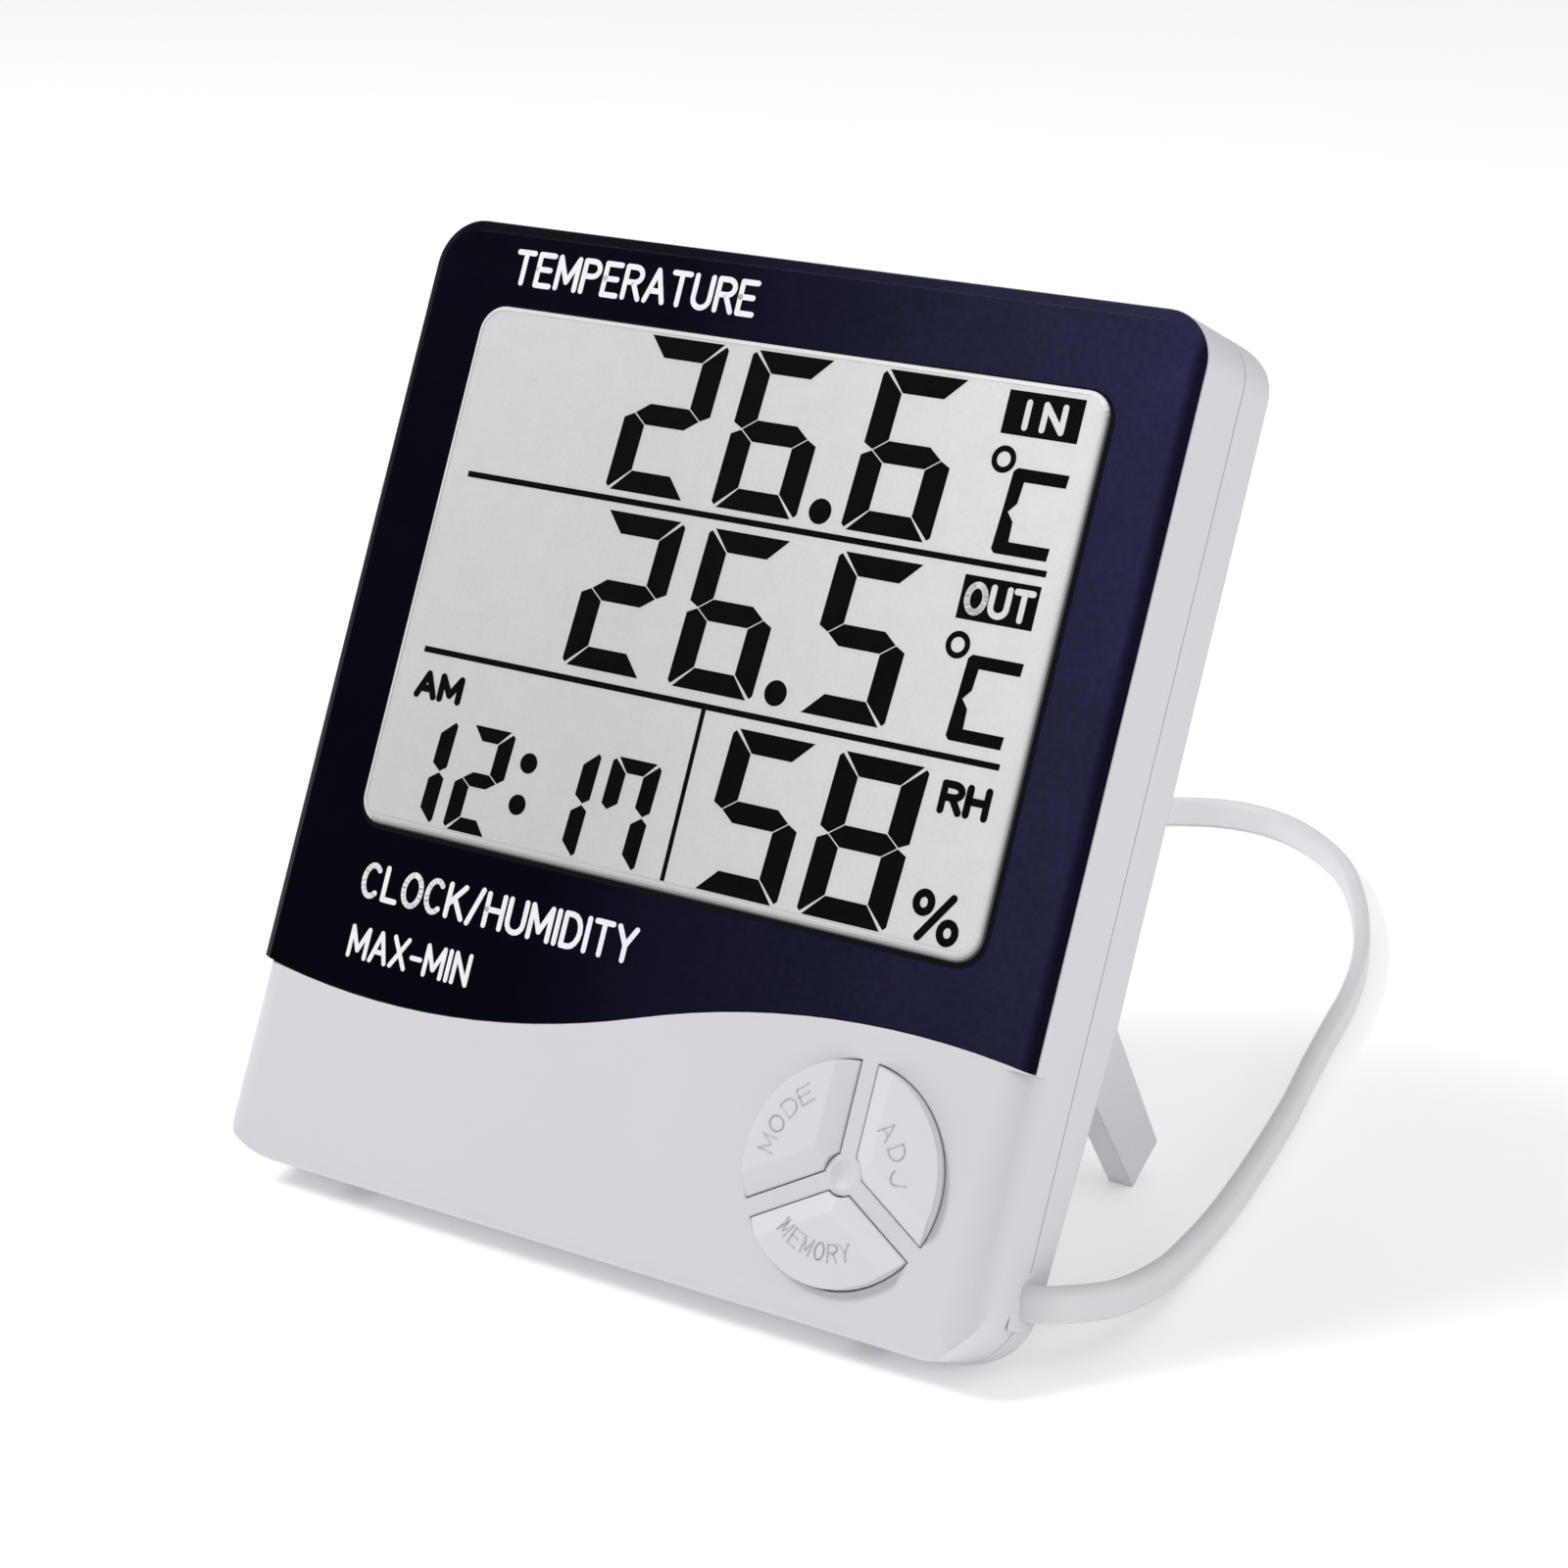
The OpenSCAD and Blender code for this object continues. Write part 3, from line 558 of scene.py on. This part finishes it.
def add_grommet(plastic):
    """The plug that holds the lead, with a very thin flange over its slot in the wall."""
    points, faces = [], []
    for x, half_y, half_z, corner in GROMMET_RINGS:
        outline = rounded_outline(GROMMET_Y - half_y, GROMMET_Y + half_y, GROMMET_Z - half_z,
                                  GROMMET_Z + half_z, corner)
        points += [case(x, y, z) for y, z in outline]
    n, last = len(outline), len(GROMMET_RINGS) - 1
    for i in range(last):
        faces += [[i * n + j, i * n + (j + 1) % n, (i + 1) * n + (j + 1) % n, (i + 1) * n + j]
                  for j in range(n)]
    faces += [list(range(n)), [last * n + j for j in reversed(range(n))]]
    grommet = add_piece("lead_grommet", points, faces, [plastic])
    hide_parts("cord_grommet")


def band_outline(low, high, floor, top, corner, steps=5):
    """A loop with round corners, in radius and height."""
    out = []
    for cx, cz, start in ((high - corner, top - corner, 0), (low + corner, top - corner, 1),
                          (low + corner, floor + corner, 2), (high - corner, floor + corner, 3)):
        for i in range(steps):
            angle = math.pi / 2 * (start + i / (steps - 1))
            out.append((cx + corner * math.cos(angle), cz + corner * math.sin(angle)))
    return out


TIE_TURN = math.radians(200)
TIE_HALF = 2.0
# The strap's outline outside and inside: inner and outer radius, foot, top and corner
TIE_OUTSIDE, TIE_INSIDE = (14.85, 28.05, 0.02, 9.6, 1.3), (15.5, 27.4, 0.6, 9.0, 0.8)
TIE_RIBS, TIE_RIB_START, TIE_RIB_PITCH, TIE_RIB_WIDTH = 9, 16.6, 1.2, 0.6
TIE_RIB_FOOT, TIE_RIB_TOP, TIE_RIB_HALF = 9.5, 9.75, 1.3
TIE_EDGE = 0.12


def add_tie(strap):
    """A flat strap round one side of the coil, with ribs on top."""
    outward = Vector((math.cos(TIE_TURN), math.sin(TIE_TURN), 0))
    along = Vector((-outward.y, outward.x, 0))
    middle = desk(COIL_X, COIL_Y, 0)

    def place(radius, height, across):
        return middle + (outward * radius + along * across) * MM + Vector((0, 0, height * MM))

    rings = [band_outline(*TIE_OUTSIDE), band_outline(*TIE_INSIDE)]
    n = len(rings[0])
    points = [place(*p, side * TIE_HALF) for side in (-1, 1) for ring in rings for p in ring]
    faces = []
    for i in range(n):
        k = (i + 1) % n
        faces += [[i, k, 2 * n + k, 2 * n + i], [n + i, 3 * n + i, 3 * n + k, n + k],
                  [i, n + i, n + k, k], [2 * n + i, 2 * n + k, 3 * n + k, 3 * n + i]]
    for step in range(TIE_RIBS):
        low = TIE_RIB_START + step * TIE_RIB_PITCH
        start = len(points)
        points += [place(r, h, a) for h in (TIE_RIB_FOOT, TIE_RIB_TOP)
                   for r in (low, low + TIE_RIB_WIDTH) for a in (-TIE_RIB_HALF, TIE_RIB_HALF)]
        faces += [[start + i for i in quad] for quad in
                  ((4, 5, 7, 6), (0, 1, 5, 4), (2, 3, 7, 6), (0, 2, 6, 4), (1, 3, 7, 5))]
    tie = add_piece("coil_strap", points, faces, [strap])
    soften(tie, TIE_EDGE)
    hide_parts("coil_tie")
    return tie


SLEEVE_R, SLEEVE_GROOVE_R = 3.0, 2.7
SLEEVE_GROOVES, GROOVE_START, GROOVE_PITCH = 5, 2, 1.3
SLEEVE_EDGE, SLEEVE_EDGE_ANGLE = 0.08, 25
TIP_STEPS, TIP_POLE_R = 12, 0.02


def add_probe(sleeve_material, metal):
    """The grooved sleeve at the lead's end, and the metal tip with its round nose."""
    low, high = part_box("probe_sleeve")
    tip_low, tip_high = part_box("probe_tip")
    y, z = (low.y + high.y) / 2, (low.z + high.z) / 2

    def place(along, a, b):
        return Vector((along * MM, y + a * MM, z + b * MM))

    x0, x1 = low.x / MM, high.x / MM
    profile = [(x0 - 2.6, 1.5), (x0 - 2.4, 1.95), (x0, 2.2), (x0 + 0.5, 2.75),
               (x0 + 1.2, SLEEVE_R)]
    for groove in range(SLEEVE_GROOVES):
        start = x0 + GROOVE_START + groove * GROOVE_PITCH
        profile += [(start, SLEEVE_R), (start + 0.15, SLEEVE_GROOVE_R),
                    (start + 0.6, SLEEVE_GROOVE_R), (start + 0.75, SLEEVE_R)]
    profile += [(x1 - 1.0, SLEEVE_R), (x1 - 0.45, 2.9), (x1 - 0.1, 2.62), (x1, 2.3)]
    points, faces = lathe(profile, place)
    sleeve = add_piece("probe_handle", points, faces, [sleeve_material], smooth=True)
    soften(sleeve, SLEEVE_EDGE, angle=SLEEVE_EDGE_ANGLE)
    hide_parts("probe_sleeve")
    end = tip_high.x / MM
    radius = (tip_high.z - tip_low.z) / 2 / MM
    shape = [(x1 - 0.6, radius * 0.96), (x1 + 0.7, radius * 0.96), (x1 + 0.9, radius * 0.86),
             (x1 + 1.3, radius * 0.86), (x1 + 1.5, radius * 0.97)]
    for i in range(TIP_STEPS + 1):
        angle = math.pi / 2 * i / TIP_STEPS
        shape.append((end - radius + radius * math.sin(angle),
                      max(radius * math.cos(angle), TIP_POLE_R)))
    points, faces = lathe(shape, place)
    tip = add_piece("probe_end", points, faces, [metal], smooth=True)
    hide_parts("probe_tip")
    return sleeve, tip


# ---- window and display -----------------------------------------------------------

def rounded_outline(x0, x1, z0, z1, r, steps=8):
    out = []
    for cx, cz, start in ((x1 - r, z1 - r, 0), (x0 + r, z1 - r, 1), (x0 + r, z0 + r, 2),
                          (x1 - r, z0 + r, 3)):
        for i in range(steps):
            angle = math.pi / 2 * (start + i / (steps - 1))
            out.append((cx + r * math.cos(angle), cz + r * math.sin(angle)))
    return out


WINDOW = (-40.2, 40.2, 38.9, 97.6)
WINDOW_R = 3.0
PILLOW = ((0, 1.3), (0, -0.03), (0.03, -0.12), (0.08, -0.19), (0.17, -0.25), (0.3, -0.29),
          (0.48, -0.315), (0.75, -0.33), (1.05, -0.335))
# Painted shade of each rim ring at the window's right and lower sides, darkest at the outer edge
RIM_SHADES = (0.1, 0.1, 0.1, 0.16, 0.32, 0.52, 0.74, 0.9)
RIM_LIGHT_RINGS = 6
SHADE_STEPS = 8
SHADE_START, SHADE_SPREAD, SHADE_NONE = 0.15, 0.6, 0.97
# How far the gasket shows past the window: at the left and top, at the right and bottom, wider
# there as a painted shadow
GASKET_LOW, GASKET_AND_SHADOW, GASKET_FRONT = 0.2, 0.55, -0.035


def rim_shade(ring, outward):
    """The painted shade of the window's rim: dark at its right and lower sides, as in the photo."""
    facing = min(1.0, max(0.0, (outward.x - outward.y - SHADE_START) / SHADE_SPREAD))
    return 1 - (1 - RIM_SHADES[ring]) * facing


def add_window(clear, rubber):
    """A clear window that stands a little out of the panel, with softly falling edges that carry
    painted shade.
    """
    rim = [display_grey_and_painted_light(f"window_rim_painted_shade_{k}", k / SHADE_STEPS) for k in range(1, SHADE_STEPS + 1)]
    x0, x1, z0, z1 = WINDOW
    points, faces, kinds = [], [], []
    for inset, y in PILLOW:
        outline = rounded_outline(x0 + inset, x1 - inset, z0 + inset, z1 - inset,
                                  WINDOW_R - inset * 0.8)
        points += [case(x, y, z) for x, z in outline]
    n = len(outline)
    middle = Vector(((x0 + x1) / 2, (z0 + z1) / 2))
    for i in range(len(PILLOW) - 1):
        for j in range(n):
            k = (j + 1) % n
            faces.append([i * n + j, i * n + k, (i + 1) * n + k, (i + 1) * n + j])
            a, b = Vector(outline[j]), Vector(outline[k])
            outward = Vector((b.y - a.y, a.x - b.x)).normalized()
            if outward.dot((a + b) / 2 - middle) < 0:
                outward = -outward
            shade = rim_shade(i, outward)
            seen = i >= RIM_LIGHT_RINGS and shade > SHADE_NONE
            kinds.append(SHADE_STEPS if seen else max(0, round(shade * SHADE_STEPS) - 1))
    top = (len(PILLOW) - 1) * n
    faces.append([top + j for j in range(n)])
    kinds.append(SHADE_STEPS)
    window = add_piece("window_pillow", points, faces, [*rim, clear], smooth=True,
                       face_material=kinds)
    window.data.polygons[len(faces) - 1].use_smooth = False
    # The dark gasket ring, widened at the right and bottom as a painted shadow
    outer = rounded_outline(x0 - GASKET_LOW, x1 + GASKET_AND_SHADOW, z0 - GASKET_AND_SHADOW,
                            z1 + GASKET_LOW, WINDOW_R + 0.3)
    inner = rounded_outline(x0 + 0.1, x1 - 0.1, z0 + 0.1, z1 - 0.1, WINDOW_R - 0.1)
    points = [case(x, y, z) for y, ring in ((0.0, outer), (GASKET_FRONT, outer),
                                            (GASKET_FRONT, inner)) for x, z in ring]
    faces = []
    for j in range(n):
        k = (j + 1) % n
        faces += [[j, k, n + k, n + j], [n + j, n + k, 2 * n + k, 2 * n + j]]
    gasket = add_piece("window_gasket_and_shadow", points, faces, [rubber])
    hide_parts("window_lens")
    return window


# Segments of a digit as corners of a cell, named from the top bar round
SEGMENTS = {"1": "bc", "2": "abged", "5": "afgcd", "6": "afgecd", "7": "fabc", "8": "abcdefg"}
SEGMENT_GAP = 0.13
SEGMENT_CUT, SEGMENT_POINT = 0.6, 0.42
LEAN = 0.043
ART_X, ART_Z = 0.15, -0.03
FILM_Y = -0.26
ART_FRONT, ART_BACK = FILM_Y - 0.02, FILM_Y - 0.003


def shrink(corners, gap):
    """A convex outline with every side moved in by a distance."""
    lines = []
    n = len(corners)
    area = sum(corners[i][0] * corners[(i + 1) % n][1] - corners[(i + 1) % n][0] * corners[i][1]
               for i in range(n))
    hand = 1 if area > 0 else -1
    for i in range(n):
        (ax, az), (bx, bz) = corners[i], corners[(i + 1) % n]
        dx, dz = bx - ax, bz - az
        size = math.hypot(dx, dz)
        nx, nz = -dz / size * hand, dx / size * hand
        lines.append((ax + nx * gap, az + nz * gap, dx, dz))
    out = []
    for i in range(n):
        ax, az, adx, adz = lines[i - 1]
        bx, bz, bdx, bdz = lines[i]
        cross = adx * bdz - adz * bdx
        t = ((bx - ax) * bdz - (bz - az) * bdx) / cross
        out.append((ax + adx * t, az + adz * t))
    return out


def segment_corners(name, w, h, v, t):
    """Corners of one segment in a cell w wide and h high: v and t are the bars' thicknesses."""
    m, c, point = h / 2, SEGMENT_CUT, v * SEGMENT_POINT
    shapes = {
        "a": [(c, h), (w - c, h), (w - v, h - t), (v, h - t)],
        "d": [(v, t), (w - v, t), (w - c, 0), (c, 0)],
        "g": [(point, m), (v, m + t / 2), (w - v, m + t / 2), (w - point, m),
              (w - v, m - t / 2), (v, m - t / 2)],
        "b": [(w - c * 0.7, h - c * 0.35), (w, h - c), (w, m + c), (w - point, m),
              (w - v, m + t / 2), (w - v, h - t)],
        "c": [(w, c), (w - c * 0.7, c * 0.35), (w - v, t), (w - v, m - t / 2),
              (w - point, m), (w, m - c)],
    }
    mirrored = {"f": "b", "e": "c"}
    if name in mirrored:
        return [(w - x, z) for x, z in shapes[mirrored[name]]]
    return shapes[name]


def digit(char, x, z, w, h, v, t):
    out = []
    for name in SEGMENTS[char]:
        for_cell = shrink(segment_corners(name, w, h, v, t), SEGMENT_GAP / 2)
        out.append([(x + px + LEAN * pz, z + pz) for px, pz in for_cell])
    return out


def bar(x0, x1, z0, z1):
    return [(x0, z0), (x1, z0), (x1, z1), (x0, z1)]


def dot(x, z, r, steps=28):
    return [(x + r * math.cos(2 * math.pi * i / steps), z + r * math.sin(2 * math.pi * i / steps))
            for i in range(steps)]


def degree(x, z, outer, inner, steps=24):
    """A small ring, as four-sided pieces."""
    out = []
    for i in range(steps):
        a, b = 2 * math.pi * i / steps, 2 * math.pi * (i + 1) / steps
        out.append([(x + r * math.cos(t), z + r * math.sin(t))
                    for r, t in ((inner, a), (outer, a), (outer, b), (inner, b))])
    return out


def celsius(x, z):
    """The letter after the degree sign, with a notch in its upright."""
    shapes = [[(0.45, 0), (6.6, 0), (6.7, 1.35), (1.85, 1.35), (0.05, 0.4)],
              [(0.05, 0.4), (1.85, 1.35), (1.78, 3.4), (0.95, 4.35), (0.3, 4.35)],
              [(0.3, 4.35), (0.95, 4.35), (1.8, 5.3), (2.0, 7.55), (0.5, 8.5)],
              [(0.5, 8.5), (2.0, 7.55), (6.85, 7.55), (6.95, 8.9), (0.95, 8.9)]]
    return [[(x + px, z + pz) for px, pz in shape] for shape in shapes]


ROW_ONE, ROW_TWO, ROW_LOW = 79.6, 60.2, 40.1
BIG = dict(w=11.0, h=17.3, v=2.95, t=2.45)
SMALL = dict(w=6.5, h=11.8, v=2.15, t=1.7)


UPPER_X, HUMIDITY_X, CLOCK_X = (-18.5, -4.5, 12.0), (4.5, 17.85), (-36.75, -28.8, -17.2, -9.25)
# Each dot's place and radius, then each line's and box's left, right, bottom and top
DOTS = ((9.2, ROW_ONE + 1.45, 1.37), (9.2, ROW_TWO + 1.45, 1.37), (-19.4, 49.0, 1.12),
        (-19.6, 44.4, 1.12))
BARS = ((-36.95, 37.2, 78.3, 78.97), (-36.95, 37.2, 58.48, 59.15), (0.7, 1.25, ROW_LOW, 58.5),
        (28.1, 37.05, 92.0, 96.55), (28.1, 37.05, 72.75, 77.3))
DEGREE_OUTER, DEGREE_INNER = 1.43, 0.8


def display_outlines():
    """Everything black on the display but its letters, as flat outlines."""
    out = []
    for text, places, z, size in (("266", UPPER_X, ROW_ONE, BIG), ("265", UPPER_X, ROW_TWO, BIG),
                                  ("58", HUMIDITY_X, ROW_LOW, BIG),
                                  ("1217", CLOCK_X, ROW_LOW, SMALL)):
        for char, x in zip(text, places):
            out += digit(char, x, z, **size)
    out += [dot(*at) for at in DOTS] + [bar(*at) for at in BARS]
    out += degree(29.25, 89.4, DEGREE_OUTER, DEGREE_INNER)
    out += degree(29.15, 70.1, DEGREE_OUTER, DEGREE_INNER)
    out += celsius(30.2, 79.85) + celsius(30.2, 60.5)
    return out


FILM_INSET, FILM_BACK = 0.3, FILM_Y + 0.25
# Each mark's words, left, right, bottom and top, and half the pen's width
DISPLAY_MARKS = (("AM", -36.95, -30.4, 53.4, 56.6, 0.4), ("RH", 31.25, 37.2, 53.1, 56.6, 0.4),
                 ("%", 31.1, 37.15, 40.2, 45.5, 0.42))
BOX_MARKS = (("I", 30.3, 31.1, 92.55, 95.8, 0.34), ("N", 32.4, 35.3, 92.55, 95.8, 0.34),
             ("OUT", 28.6, 36.7, 73.25, 76.75, 0.34))
BOX_MARK_RISE = 0.01


def add_marks(name, marks, y0, y1, material):
    for n, (words, x0, x1, z0, z1, half) in enumerate(marks):
        lettering(f"{name}_{n}", words, (x0 + ART_X, x1 + ART_X, z0 + ART_Z, z1 + ART_Z),
                  y0, y1, material, "case", half)


def add_display(grey, black, pale):
    """The display's front film, close behind the window, and what it shows."""
    x0, x1, z0, z1 = WINDOW
    outline = rounded_outline(x0 + FILM_INSET, x1 - FILM_INSET, z0 + FILM_INSET,
                              z1 - FILM_INSET, WINDOW_R - 0.25)
    points, faces = prisms([outline], FILM_Y, FILM_BACK)
    film = add_piece("display_film", points, faces, [grey])
    outlines = [[(x + ART_X, z + ART_Z) for x, z in shape] for shape in display_outlines()]
    points, faces = prisms(outlines, ART_FRONT, ART_BACK)
    segments = add_piece("display_segments", points, faces, [black])
    add_marks("display_mark", DISPLAY_MARKS, ART_FRONT, ART_BACK, black)
    add_marks("display_box_mark", BOX_MARKS, ART_FRONT - BOX_MARK_RISE, ART_FRONT, pale)


# ---- lettering ----------------------------------------------------------------------

def bow(x, z, rx, rz, start, end, steps=9):
    """Points along part of an ellipse, by angle in degrees."""
    turns = [math.radians(start + (end - start) * i / (steps - 1)) for i in range(steps)]
    return [(x + rx * math.cos(t), z + rz * math.sin(t)) for t in turns]


# Plain letters as pen strokes in a box one wide and one high, and their width to height
P_BOW = [(0, 0), (0, 1), (0.55, 1)] + bow(0.55, 0.755, 0.45, 0.245, 90, -90) + [(0, 0.51)]
GLYPHS = {
    "A": (0.62, [[(0, 0), (0.5, 1), (1, 0)], [(0.18, 0.33), (0.82, 0.33)]]),
    "C": (0.56, [bow(0.52, 0.5, 0.52, 0.5, 48, 312, 15)]),
    "D": (0.56, [[(0, 0), (0, 1), (0.4, 1)] + bow(0.4, 0.5, 0.6, 0.5, 90, -90) + [(0, 0)]]),
    "E": (0.5, [[(1, 1), (0, 1), (0, 0), (1, 0)], [(0, 0.52), (0.86, 0.52)]]),
    "H": (0.56, [[(0, 0), (0, 1)], [(1, 0), (1, 1)], [(0, 0.52), (1, 0.52)]]),
    "I": (0.02, [[(0.5, 0), (0.5, 1)]]),
    "J": (0.46, [[(1, 1), (1, 0.28)] + bow(0.5, 0.28, 0.5, 0.28, 0, -170)]),
    "K": (0.56, [[(0, 0), (0, 1)], [(0.95, 1), (0, 0.36)], [(0.36, 0.6), (1, 0)]]),
    "L": (0.46, [[(0, 1), (0, 0), (1, 0)]]),
    "M": (0.68, [[(0, 0), (0, 1), (0.5, 0.22), (1, 1), (1, 0)]]),
    "N": (0.56, [[(0, 0), (0, 1), (1, 0), (1, 1)]]),
    "O": (0.62, [bow(0.5, 0.5, 0.5, 0.5, 90, 450, 21)]),
    "P": (0.52, [P_BOW]),
    "R": (0.54, [P_BOW, [(0.52, 0.51), (1, 0)]]),
    "T": (0.56, [[(0, 1), (1, 1)], [(0.5, 0), (0.5, 1)]]),
    "U": (0.56, [[(0, 1), (0, 0.3)] + bow(0.5, 0.3, 0.5, 0.3, 180, 360) + [(1, 1)]]),
    "X": (0.58, [[(0, 0), (1, 1)], [(0, 1), (1, 0)]]),
    "Y": (0.58, [[(0, 1), (0.5, 0.46), (1, 1)], [(0.5, 0.46), (0.5, 0)]]),
    "/": (0.36, [[(0, -0.06), (1, 1.06)]]),
    "-": (0.36, [[(0, 0.44), (1, 0.44)]]),
    "%": (1.1, [bow(0.17, 0.78, 0.17, 0.22, 90, 450, 17), bow(0.83, 0.22, 0.17, 0.22, 90, 450, 17),
                [(0.2, 0), (0.8, 1)]]),
}
LETTER_GAP = 0.24


def pen_stroke(line, half):
    """The outlines of one pen stroke: a bar between each two points, and a round at each."""
    out = []
    for (ax, az), (bx, bz) in zip(line, line[1:]):
        size = math.hypot(bx - ax, bz - az)
        if size < half * 0.01:
            continue
        nx, nz = (az - bz) / size * half, (bx - ax) / size * half
        out.append([(ax + nx, az + nz), (ax - nx, az - nz), (bx - nx, bz - nz),
                    (bx + nx, bz + nz)])
    return out + [dot(x, z, half, 12) for x, z in line]


def written(words, area, half):
    """Outlines of lettering that fills an area of x and z, with a pen of that half width."""
    x0, x1, z0, z1 = area
    x0, x1, z0, z1 = x0 + half, x1 - half, z0 + half, z1 - half
    total = sum(GLYPHS[c][0] for c in words) + LETTER_GAP * (len(words) - 1)
    scale = (x1 - x0) / total
    out, x = [], x0
    for char in words:
        width, strokes = GLYPHS[char]
        for line in strokes:
            out += pen_stroke([(x + px * width * scale, z0 + pz * (z1 - z0))
                               for px, pz in line], half)
        x += (width + LETTER_GAP) * scale
    return out


def lettering(name, words, area, y0, y1, material, body, half, place=case):
    """A piece of lettering that fills an area, from depth y0 back to y1."""
    points, faces = prisms(written(words, area, half), y0, y1, place, STROKE_STEP)
    piece = add_piece(name, points, faces, [material], body=body)
    return piece


# Words, left, right, bottom and top, and half the pen's width
LEGEND_FRONT, LEGEND_BACK = -0.02, 0.005
PANEL_LEGENDS = (
    ("TEMPERATURE", (-37.7, -4.9, 100.1, 104.15), 0.31),
    ("CLOCK/HUMIDITY", (-37.7, -0.2, 30.7, 34.75), 0.31),
    ("MAX-MIN", (-37.4, -20.4, 24.0, 27.7), 0.27),
)


def add_panel_legends(white):
    for n, (words, area, weight) in enumerate(PANEL_LEGENDS):
        lettering(f"panel_legend_{n}", words, area, LEGEND_FRONT, LEGEND_BACK, white,
                  "case", weight)


KEY_X, KEY_Z = 30.8, 15.75
KEY_TOP = -1.1
KEY_LEGEND_RISE, KEY_LEGEND_ROOT, KEY_PEN = 0.05, 0.03, 0.085
# Words, radius, each letter's angle, which way is up (1 is outward), letter width and height
KEY_LEGENDS = {
    "mode_key": ("MODE", 9.0, (173, 159, 144.5, 131), 1, 1.7, 1.9),
    "adj_key": ("ADJ", 7.0, (51, 30, 9.5), 1, 1.6, 2.0),
    "memory_key": ("MEMORY", 7.9, (235.5, 247, 258.5, 270, 281, 291.5), -1, 1.2, 1.9),
}


def add_key_legends(key):
    """Faint raised letters that follow each key's outer edge."""
    for body, (words, radius, angles, outward, width, height) in KEY_LEGENDS.items():
        for n, (letter, angle) in enumerate(zip(words, angles)):
            turn = math.radians(angle)
            top = Vector((math.cos(turn), math.sin(turn))) * outward
            across = Vector((top.y, -top.x))
            centre = Vector((math.cos(turn), math.sin(turn))) * radius

            def place(x, y, z):
                at = centre + across * x + top * z
                return case(KEY_X + at.x, y, KEY_Z + at.y)

            lettering(f"{body}_letter_{n}", letter,
                      (-width / 2, width / 2, -height / 2, height / 2),
                      KEY_TOP - KEY_LEGEND_RISE, KEY_TOP + KEY_LEGEND_ROOT, key,
                      body, KEY_PEN, place)


# ---- studio ------------------------------------------------------------------------------

AIM = Vector((0, 0, 0.05))
# Each lamp's direction from the object, distance, size and power
LAMPS = {
    "key_light": ((-0.5, -0.45, 0.74), 1.3, 0.35, 8.2),
    "right_fill": ((0.95, 0.12, 0.3), 1.5, 0.8, 4.8),
    "overhead": ((0.0, 0.2, 1.0), 2.3, 4, 32),
}
ROOM_LIGHT = 0.34
FLOOR_REACH = 7


def add_area(name, direction, distance, size, power):
    data = bpy.data.lights.new(name, "AREA")
    data.shape = "SQUARE"
    data.size = size
    data.energy = power
    lamp = bpy.data.objects.new(name, data)
    bpy.context.scene.collection.objects.link(lamp)
    lamp.location = AIM + Vector(direction).normalized() * distance
    lamp.rotation_euler = (AIM - lamp.location).to_track_quat("-Z", "Y").to_euler()


def add_studio():
    world = bpy.data.worlds.new("studio")
    bpy.context.scene.world = world
    world.use_nodes = True
    back = world.node_tree.nodes["Background"]
    back.inputs["Color"].default_value = (1, 1, 1, 1)
    back.inputs["Strength"].default_value = ROOM_LIGHT
    for name, facts in LAMPS.items():
        add_area(name, *facts)
    bpy.context.scene.view_settings.view_transform = "Standard"
    reach = FLOOR_REACH
    mesh = bpy.data.meshes.new("floor")
    mesh.from_pydata([(-reach, -reach, 0), (reach, -reach, 0), (reach, reach, 0),
                      (-reach, reach, 0)], [], [(0, 1, 2, 3)])
    floor = bpy.data.objects.new("floor", mesh)
    bpy.context.scene.collection.objects.link(floor)
    surface = Surface("floor_paper", (0.96, 0.96, 0.96), 0.75, cloud=0.006, cloud_mm=60,
                      grain=0.02, grain_mm=1.5, edge_mm=0, Specular_IOR_Level=0.1,
                      Emission_Strength=0.2)
    mesh.materials.append(surface.material)


def main():
    add_camera()
    jacket = lead_jacket()
    lead, path, exit_point, length = add_lead(jacket)
    handle, end = add_probe(matt("probe_plastic", linear(226, 226, 228), 0.45, cloud=0.02),
                            plated_metal("probe_metal", (0.66, 0.66, 0.65)))
    tie = add_tie(matt("tie_strap", (0.78, 0.78, 0.8), 0.4, cloud=0.03, grain=0.2))
    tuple(exit_point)
    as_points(path)
    key = finish_nodes()
    add_grommet(case_plastic("white_flush", 0))
    grey = display_grey_and_painted_light()
    add_window(window_clear(), matt("gasket", (0.004, 0.004, 0.005), 0.6,
                                    Specular_IOR_Level=0.05))
    add_display(grey, segment_black(), grey)
    add_panel_legends(legend_white())
    add_key_legends(key)
    add_studio()


main()
